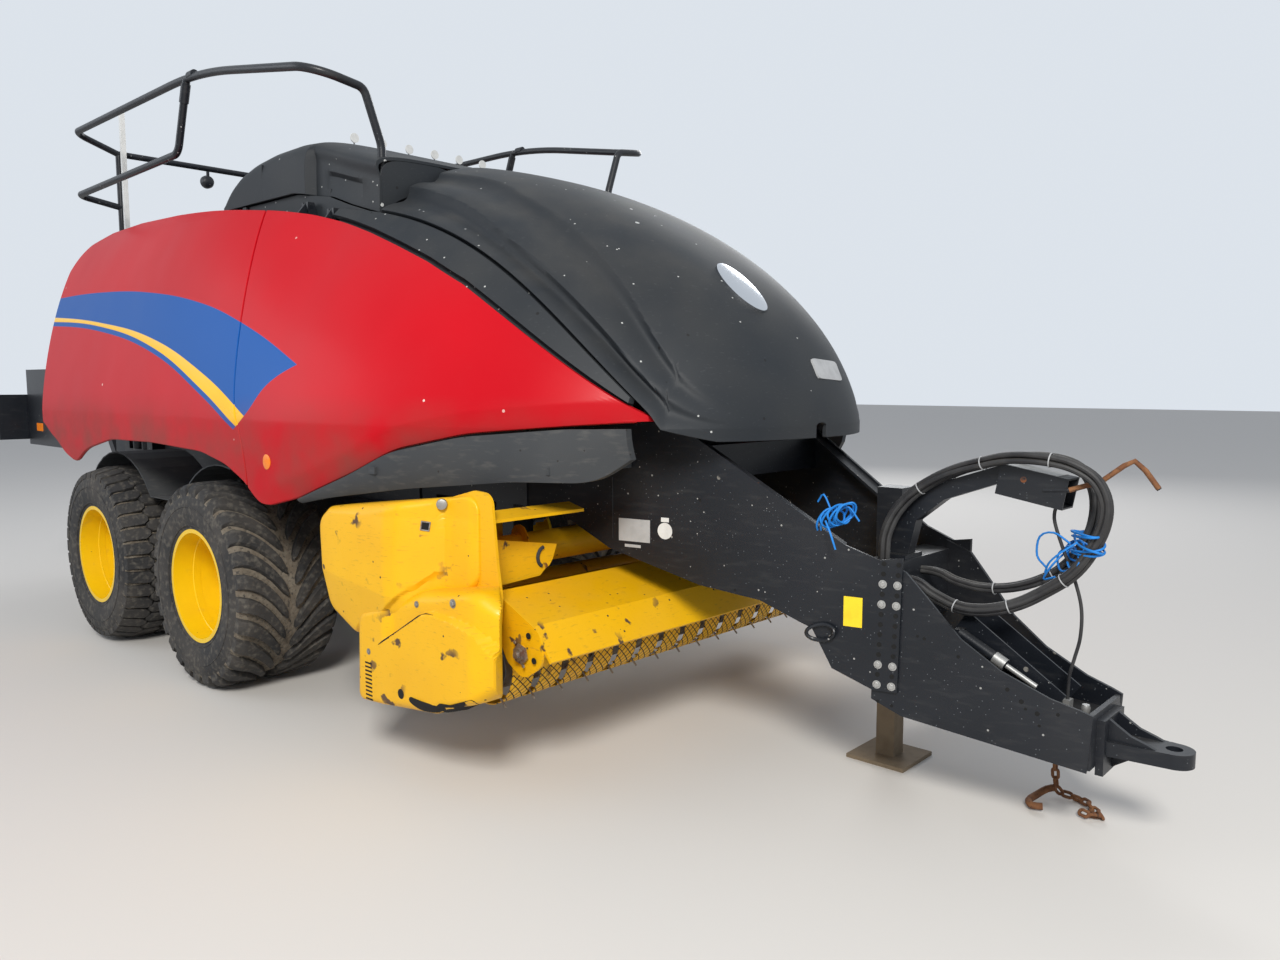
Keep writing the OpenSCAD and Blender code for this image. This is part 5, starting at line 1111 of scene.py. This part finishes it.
twine = [tube(wound((3.7, -0.008, 1.03), (-0.055, 0.082, 0), (0.034, 0.022, 0), (0, 0, 0.035), 5), 0.0042, 6),
         tube(wound((3.655, -0.01, 0.985), (-0.045, 0.06, 0.01), (0.02, 0, 0.04), (0.02, 0, 0.02), 3), TWINE_R, 6),
         tube(wound((2.91, -0.34, 1.08), (0.016, 0.036, 0), (0.012, 0, 0.04), (0.045, 0, 0.02), 7), 0.0042, 6)]
piece("twine_ties", twine + [tube(curve(points), TWINE_R, 6) for points in TWINE_ENDS], "chassis", TWINE,
      60)
straps = []
for route, radius, stops in STRAPS:
    way = curve(route)
    band = [(side * STRAP_HALF, radius + rise) for side, rise in ((-1, 0), (1, 0), (1, STRAP_T), (-1, STRAP_T))]
    for share in stops:
        k = int(share * (len(way) - 2))
        straps.append(lathe(way[k], way[k + 1] - way[k], band, 20, ring_shaped=True))
piece("hose_straps", straps, "chassis", LABEL, 35)

# Safety chain: rusty iron links that hang from the drawbar and lie on the ground in a loose turn, with their hook.
# Links are rings of wire bent to a stadium's outline.
CHAIN = [(3.55, 0.2, 0.415), (3.55, 0.205, 0.3), (3.553, 0.21, 0.16), (3.56, 0.225, 0.045), (3.6, 0.25, 0.018),
         (3.66, 0.235, 0.016), (3.7, 0.19, 0.016), (3.74, 0.15, 0.016), (3.7, 0.12, 0.02), (3.65, 0.15, 0.02)]
CHAIN_HOOK = [(3.56, 0.21, 0.052), (3.53, 0.2, 0.04), (3.505, 0.16, 0.022), (3.5, 0.1, 0.02),
              (3.525, 0.065, 0.02), (3.56, 0.075, 0.022)]
LINK_WIRE, LINK_LENGTH, LINK_WIDTH = 0.0062, 0.05, 0.034


def chain(path, wire, length, width):
    """Links along a path, each a stadium-shaped ring turned a quarter round from the one before."""
    path = curve(path, 0.004)
    run = np.concatenate([[0], np.cumsum(np.linalg.norm(np.diff(path, axis=0), axis=1))])
    side, up = frames(path)
    pitch = length - 2.2 * wire
    shapes = []
    for k in range(int(run[-1] / pitch)):
        i = int(np.searchsorted(run, (k + 0.5) * pitch))
        along = np.cross(side[i], up[i])
        across = side[i] if k % 2 else up[i]
        w = np.linspace(0, 2 * np.pi, 19)[:-1, None]
        bend, straight = width / 2 - wire, (length - width) / 2
        ring = along * (np.cos(w) * bend + np.sign(np.cos(w)) * straight) + across * np.sin(w) * bend
        out = along * np.cos(w) + across * np.sin(w)
        over = np.cross(along, across)
        shapes.append(loft([path[i] + ring + wire * (out * math.cos(b) + over * math.sin(b))
                            for b in np.linspace(0, 2 * np.pi, 9)], caps=False))
    return shapes


piece("safety_chain", chain(CHAIN, LINK_WIRE, LINK_LENGTH, LINK_WIDTH) + [tube(curve(CHAIN_HOOK), 0.013, 10)],
      "chassis", IRON, 60)

# Lenses of the rear lamps: flat amber plastic, one on each lamp board at the rear corners. They are glued on the
# outer side of the boards.
piece("rear_lenses", both_sides([box((-3.14, -1.21, 1.232), (-3.02, -1.203, 1.288))]), "chassis", AMBER,
      35, 0.001)

# Pickup covers: two moulded housings at each end, yellow like the steel behind them, with dirt, scratches and rust
# in the chips. One covers the auger's drive and one the reel's cam track, and screws hold them to the side plate.
UPPER = [(1.03, 1.01, 0.06), (1.1, 1.062, 0.03), (1.86, 1.152, 0.06), (1.89, 1.1, 0.04), (1.89, 0.83, 0.08),
         (1.78, 0.7, 0.08), (1.33, 0.6, 0.04), (1.23, 0.53, 0.03), (1.05, 0.62, 0.06)]
LOWER = [(1.3, 0.64, 0.06), (1.29, 0.275, 0.03), (1.45, 0.285, 0.06), (1.8, 0.325, 0.08), (2.08, 0.43, 0.09),
         (2.24, 0.54, 0.09), (2.22, 0.72, 0.1), (2.04, 0.83, 0.12), (1.7, 0.78, 0.06)]
UPPER_PLAN = [(1.0, -1.39), (1.535, -1.389), (1.6, -1.372), (1.71, -1.262), (1.76, -1.246), (1.86, -1.236),
              (1.9, -1.212)]
LOWER_REACH = [(-1.375, 2.145), (-1.335, 2.15), (-1.28, 2.12), (-1.192, 2.0)]
FOLD = [(1.25, 0.43), (1.533, 0.575), (1.758, 0.704), (1.82, 0.714), (1.95, 0.705), (2.06, 0.683), (2.16, 0.6)]
ROOT_Y = -1.192


def pickup_paint(name, gap_shade=False):
    """Yellow paint with dirt, scratches, worn patches and rust in the chips. Over the strippers lie black
    criss-cross lines, painted shade of the gaps and shadows between their bands.
    """
    yellow = (Finish(name, (0.82, 0.45, 0.003), 0.42, coat=0.08, specular=0.25)
              .patches((2.4, 0.3, 0.8), (0.74, 0.38, 0.004), 0.48)
              .patches((24.0, 0.6, 0.8, (1, 1, 6)), (0.26, 0.13, 0.03), 0.6, share=0.45)
              .patches((14.0, 0.62, 0.66), (0.1, 0.055, 0.03), 0.7, within=(3.0, 0.52, 0.6))
              .specks((21.0, 0.1, 0.16), (0.05, 0.035, 0.02), 0.8)
              .specks((6.0, 0.13, 0.12), RUST, 0.85, (25.0, 0.45, 0.55)))
    if gap_shade:
        # Two sets of slanting black lines low on the front of the strippers: painted shade.
        x, y, z = yellow.node("SeparateXYZ", Vector=yellow.place).outputs
        region = yellow.both(yellow.sum("LESS_THAN", z, 0.455), yellow.sum("GREATER_THAN", x, 1.86))
        for way in (1, -1):
            run = yellow.sum("ADD", yellow.both(y, way * 26.0), yellow.both(z, 30.0))
            wire = yellow.sum("LESS_THAN", yellow.sum("FRACT", run), 0.16)
            yellow.layer(yellow.both(wire, region), (0.012, 0.012, 0.012), 0.7)
    return yellow.grain(0.0004, 40.0, 0.3, 0.8).dusty(0.1).done()


def rounded(rows, steps=7):
    """Outline through rows of (x, z, corner radius)."""
    line = []
    for (ax, az, _), (cx, cz, r), (bx, bz, _) in zip(rows[-1:] + rows[:-1], rows, rows[1:] + rows[:1]):
        a, b = np.array([ax - cx, az - cz]), np.array([bx - cx, bz - cz])
        a, b = a / np.linalg.norm(a), b / np.linalg.norm(b)
        half = math.acos(np.clip(a @ b, -1, 1)) / 2
        middle = np.array([cx, cz]) + (a + b) / np.linalg.norm(a + b) * r / math.sin(half)
        start, end = a * r / math.tan(half) + (cx, cz) - middle, b * r / math.tan(half) + (cx, cz) - middle
        across = np.array([-start[1], start[0]])
        w = math.atan2(across @ end, start @ end) * np.linspace(0, 1, steps + 1)[:, None]
        line.append(middle + start * np.cos(w) + across * np.sin(w))
    return np.concatenate(line)


def resampled(line, count=260):
    """The same closed outline with evenly spaced points."""
    loop = np.vstack([line, line[:1]])
    run = np.concatenate([[0], np.cumsum(np.linalg.norm(np.diff(loop, axis=0), axis=1))])
    at = np.linspace(0, run[-1], count, endpoint=False)
    return np.stack([np.interp(at, run, loop[:, 0]), np.interp(at, run, loop[:, 1])], axis=1)


def crowned(outline, face, edge, reach=None, rounds=7, rings=34):
    """A moulded cover: rings of the outline go out along a wall, round an edge, and close over y = face(x, z)."""
    line = resampled(rounded(outline))
    centre = line.mean(axis=0)
    inwards = (centre - line) / np.linalg.norm(centre - line, axis=1, keepdims=True)
    deep = np.minimum(edge, 0.9 * (ROOT_Y - face(*line.T)))
    wall = face(*line.T) + deep
    rows = [(line, ROOT_Y + (wall - ROOT_Y) * t) for t in np.linspace(0, 1, 7)[:-1]]
    for w in np.linspace(0, 0.5 * np.pi, rounds + 1):
        moved = line + inwards * (deep * (1 - math.cos(w)))[:, None]
        rows.append((moved, face(*moved.T) + deep * (1 - math.sin(w))))
    for share in np.linspace(1, 0.003, rings + 1)[1:]:
        ring = centre + (moved - centre) * share
        rows.append((ring, face(*ring.T)))
    skin = np.array([np.stack([ring[:, 0], y + 0 * ring[:, 0], ring[:, 1]], axis=1) for ring, y in rows])
    if reach:
        skin[..., 0] = np.minimum(skin[..., 0], lookup(skin[..., 1], reach))
    return loft(skin)


def upper_face(x, z):
    """Face of the upper cover: it turns in at the front, where the second moulding lies a little lower."""
    seam_x = 1.712 + np.minimum(0, z - 0.85) * 1.25
    low = np.maximum(0, 0.8 - 0.1 * (x - 1.05) - z)
    swell = 0.012 * ((x - 1.3) / 0.3) ** 2 * (x < 1.3) + 0.01 * clamp((z - 0.92) / 0.14) ** 2
    return np.minimum(-1.201, lookup(x, UPPER_PLAN, 0.015) + 0.018 * ease((x - seam_x) / 0.014) + 0.2 * low + swell)


def lower_face(x, z):
    """Face of the lower cover: a bulge below the fold, with the part above the fold lying deeper."""
    over = ease((z - lookup(x, FOLD, 0.01)) / 0.014) * ease((x - 1.49) / 0.06)
    return -1.375 + 0.026 * over + 0.03 * ease((x - 2.03) / 0.13) + 0.1 * np.maximum(0, x - 1.95) * over


YELLOW = pickup_paint("pickup_paint")
right = [crowned(UPPER, upper_face, 0.045), crowned(LOWER, lower_face, 0.05, LOWER_REACH)]
skins = piece("pickup_cover_skins", both_sides(right), "pickup", YELLOW, 24, node="pickup_shields")
# The frame's paint carries the painted shade over the strippers.
keep(pickup_paint("pickup_gap_shade_paint", gap_shade=True), {0.003: "pickup_frame"})
keep(YELLOW, {0.002: "feed_auger", 0.003: "wind_guard crop_roller"})
keep(STEEL, {0.002: "pickup_reel"})

# Fittings on the covers: a steel latch in its hollow, cooling slots, a hole, steel screws, the lower edge where the
# paint is worn through, and the dark crease. The last two are cast on the cover along Y. The hollow, the slots and
# the hole are dark discs and boxes of painted shade, and the crease is a dark tube of painted shadow along the
# split.
TURN_OUT = (0.72, -0.69, 0)
LATCH_AT = (1.681, -1.288, 1.028)
WORN = [(1.66, 0.365, 0.01), (1.69, 0.378, 0.01), (1.8, 0.345, 0.012), (1.87, 0.392, 0.012), (1.96, 0.4, 0.01),
        (2.07, 0.455, 0.01), (2.06, 0.425, 0.01), (1.98, 0.383, 0.01), (1.86, 0.343, 0.01), (1.74, 0.327, 0.01)]
CREASE = [(1.47, 0.541), (1.5, 0.56), (1.533, 0.579), (1.6, 0.618), (1.68, 0.664), (1.74, 0.698), (1.78, 0.714),
          (1.83, 0.718)]
CREASE_R = np.array([0.001, 0.003, 0.004, 0.0035, 0.004, 0.0045, 0.003, 0.001])
SCREWS = [((1.7, -1.3485, 0.735), 0.009), ((1.927, -1.348, 0.773), 0.012), ((1.4, -1.374, 0.5), 0.009),
          ((2.0, -1.366, 0.52), 0.008), ((1.1, -1.374, 0.93), 0.009)]
SLOTS, SLOT_Z, SLOT_PITCH, SLOT_HIGH = 10, 0.3, 0.0165, 0.0065
surface = BVHTree.FromPolygons([tuple(v.co) for v in skins.data.vertices],
                               [tuple(f.vertices) for f in skins.data.polygons])


def cast(x, z, lift):
    """The point of the right-hand cover at x and z, lifted off it."""
    hit = surface.ray_cast((x, -1.6, z), (0, 1, 0))[0]
    return x, (hit.y if hit else -1.33) - lift, z


worn = resampled(rounded(WORN), 90)
middle = worn.mean(axis=0)
patch = loft([[cast(*(middle + (at - middle) * share), lift) for at in worn]
              for share, lift in ((1.0, -0.004), (1.0, 0.002), (0.6, 0.0026), (0.01, 0.0026))])
latch = [lathe(LATCH_AT, TURN_OUT, [(-0.004, 0.026), (0.004, 0.026), (0.004, 0.02), (0.001, 0.018)], 4),
         lathe((1.731, -1.246, 1.112), TURN_OUT, [(-0.004, 0.022), (0.006, 0.02), (0.008, 0.012)], 20)]
# Dark discs and boxes of painted shade for the latch's hollow, a hole and the slots
hollows = [lathe(LATCH_AT, TURN_OUT, [(0.0, 0.019), (0.003, 0.019)], 4),
           lathe((1.619, -1.3745, 0.373), (0, -1, 0), [(-0.004, 0.02), (0.0012, 0.02)], 24)]
for k in range(SLOTS):
    z = SLOT_Z + SLOT_PITCH * k
    hollows.append(box((1.372, -1.3762, z), (1.418, -1.372, z + SLOT_HIGH)))
screws = sum([bolt(at, (0, -1, 0), size) for at, size in SCREWS], [])
for name, shapes, finish, slot in (
        ("latches", latch, STEEL, "bare_steel"), ("hollow_shades", hollows, WEAR_AND_SHADE, "pickup_paint"),
        ("worn_edge_and_crease_shade", [patch, tube([cast(x, z, 0.0005) for x, z in CREASE], CREASE_R, 8)], WEAR_AND_SHADE, "pickup_paint"),
        ("cover_screws", screws, STEEL, "bare_steel")):
    piece(f"pickup_{name}", both_sides(shapes), "pickup", finish, 30)

# Bearing ends of the wind guard's arms: a steel nut and pin and three bolts on the outer face of each arm, with two
# drilled holes beside them. The holes are dark discs of painted shade.
ARM_Y, ARM_X, ARM_Z = -1.15, 2.07, 0.57
arm_steel = [
    lathe((ARM_X, ARM_Y, ARM_Z), (0, -1, 0), [(0, 0.04), (0.006, 0.04), (0.008, 0.034), (0.01, 0.03)], 6),
    lathe((ARM_X, ARM_Y - 0.01, ARM_Z), (0, -1, 0), [(0, 0.024), (0.008, 0.024), (0.008, 0.013), (0.02, 0.012)],
          24)]
arm_steel += bolt((1.945, ARM_Y, 0.65), (0, -1, 0), 0.011)
for x, z in ((2.045, 0.612), (2.092, 0.53)):
    arm_steel += bolt((x, ARM_Y - 0.006, z), (0, -1, 0), 0.007, False)
arm_holes = [lathe((x, ARM_Y, z), (0, -1, 0), [(-0.002, 0.012), (0.0008, 0.012)], 20)
             for x, z in ((2.112, 0.646), (2.141, 0.557))]
piece("guard_arm_bearings", both_sides(arm_steel), "wind_guard", STEEL, 35)
piece("guard_arm_holes", both_sides(arm_holes), "wind_guard", WEAR_AND_SHADE, 35)

# End sheets of the auger: yellow steel plates that close in its ends behind the covers. A grey segment of the
# bearing ring shows in the round cut of each.
END_SHEET = [(-1.18, 0.968), (-1.099, 0.968), (-0.732, 0.906), (-0.756, 0.847), (-0.775, 0.822), (-0.804, 0.806),
             (-0.828, 0.786), (-1.082, 0.774), (-1.18, 0.774)]
SHEET_X, SHEET_T, RING_R = 1.816, 0.005, 0.042
sheet = [prism([(SHEET_X, y, z) for y, z in END_SHEET], (SHEET_T, 0, 0))]
w = np.radians(np.linspace(-60, 75, 12))
arc = np.stack([1.823 + 0 * w, -0.8 - RING_R * np.cos(w), 0.862 + RING_R * np.sin(w)], axis=1)
crescent = [tube(arc, 0.008, 8)]
piece("auger_end_sheets", both_sides(sheet), "pickup", YELLOW, 35)
piece("auger_end_rings", both_sides(crescent), "pickup", GUARD, 35)

# Edge strips: grey rubber that follows the front edge of each lower cover, pressed on between cover and side plate.
STRIP = [(1.925, 0.385), (1.975, 0.425), (2.008, 0.495), (2.0, 0.56), (1.962, 0.64)]
STRIP_WIDE, STRIP_Y, STRIP_T = 0.026, -1.196, 0.004
strip = [prism([(x, 0, z) for x, z in STRIP] + [(x + STRIP_WIDE, 0, z) for x, z in STRIP[::-1]],
               (0, STRIP_T, 0), start=(0, STRIP_Y, 0))]
piece("cover_edge_strips", both_sides(strip), "pickup", GUARD, 35)
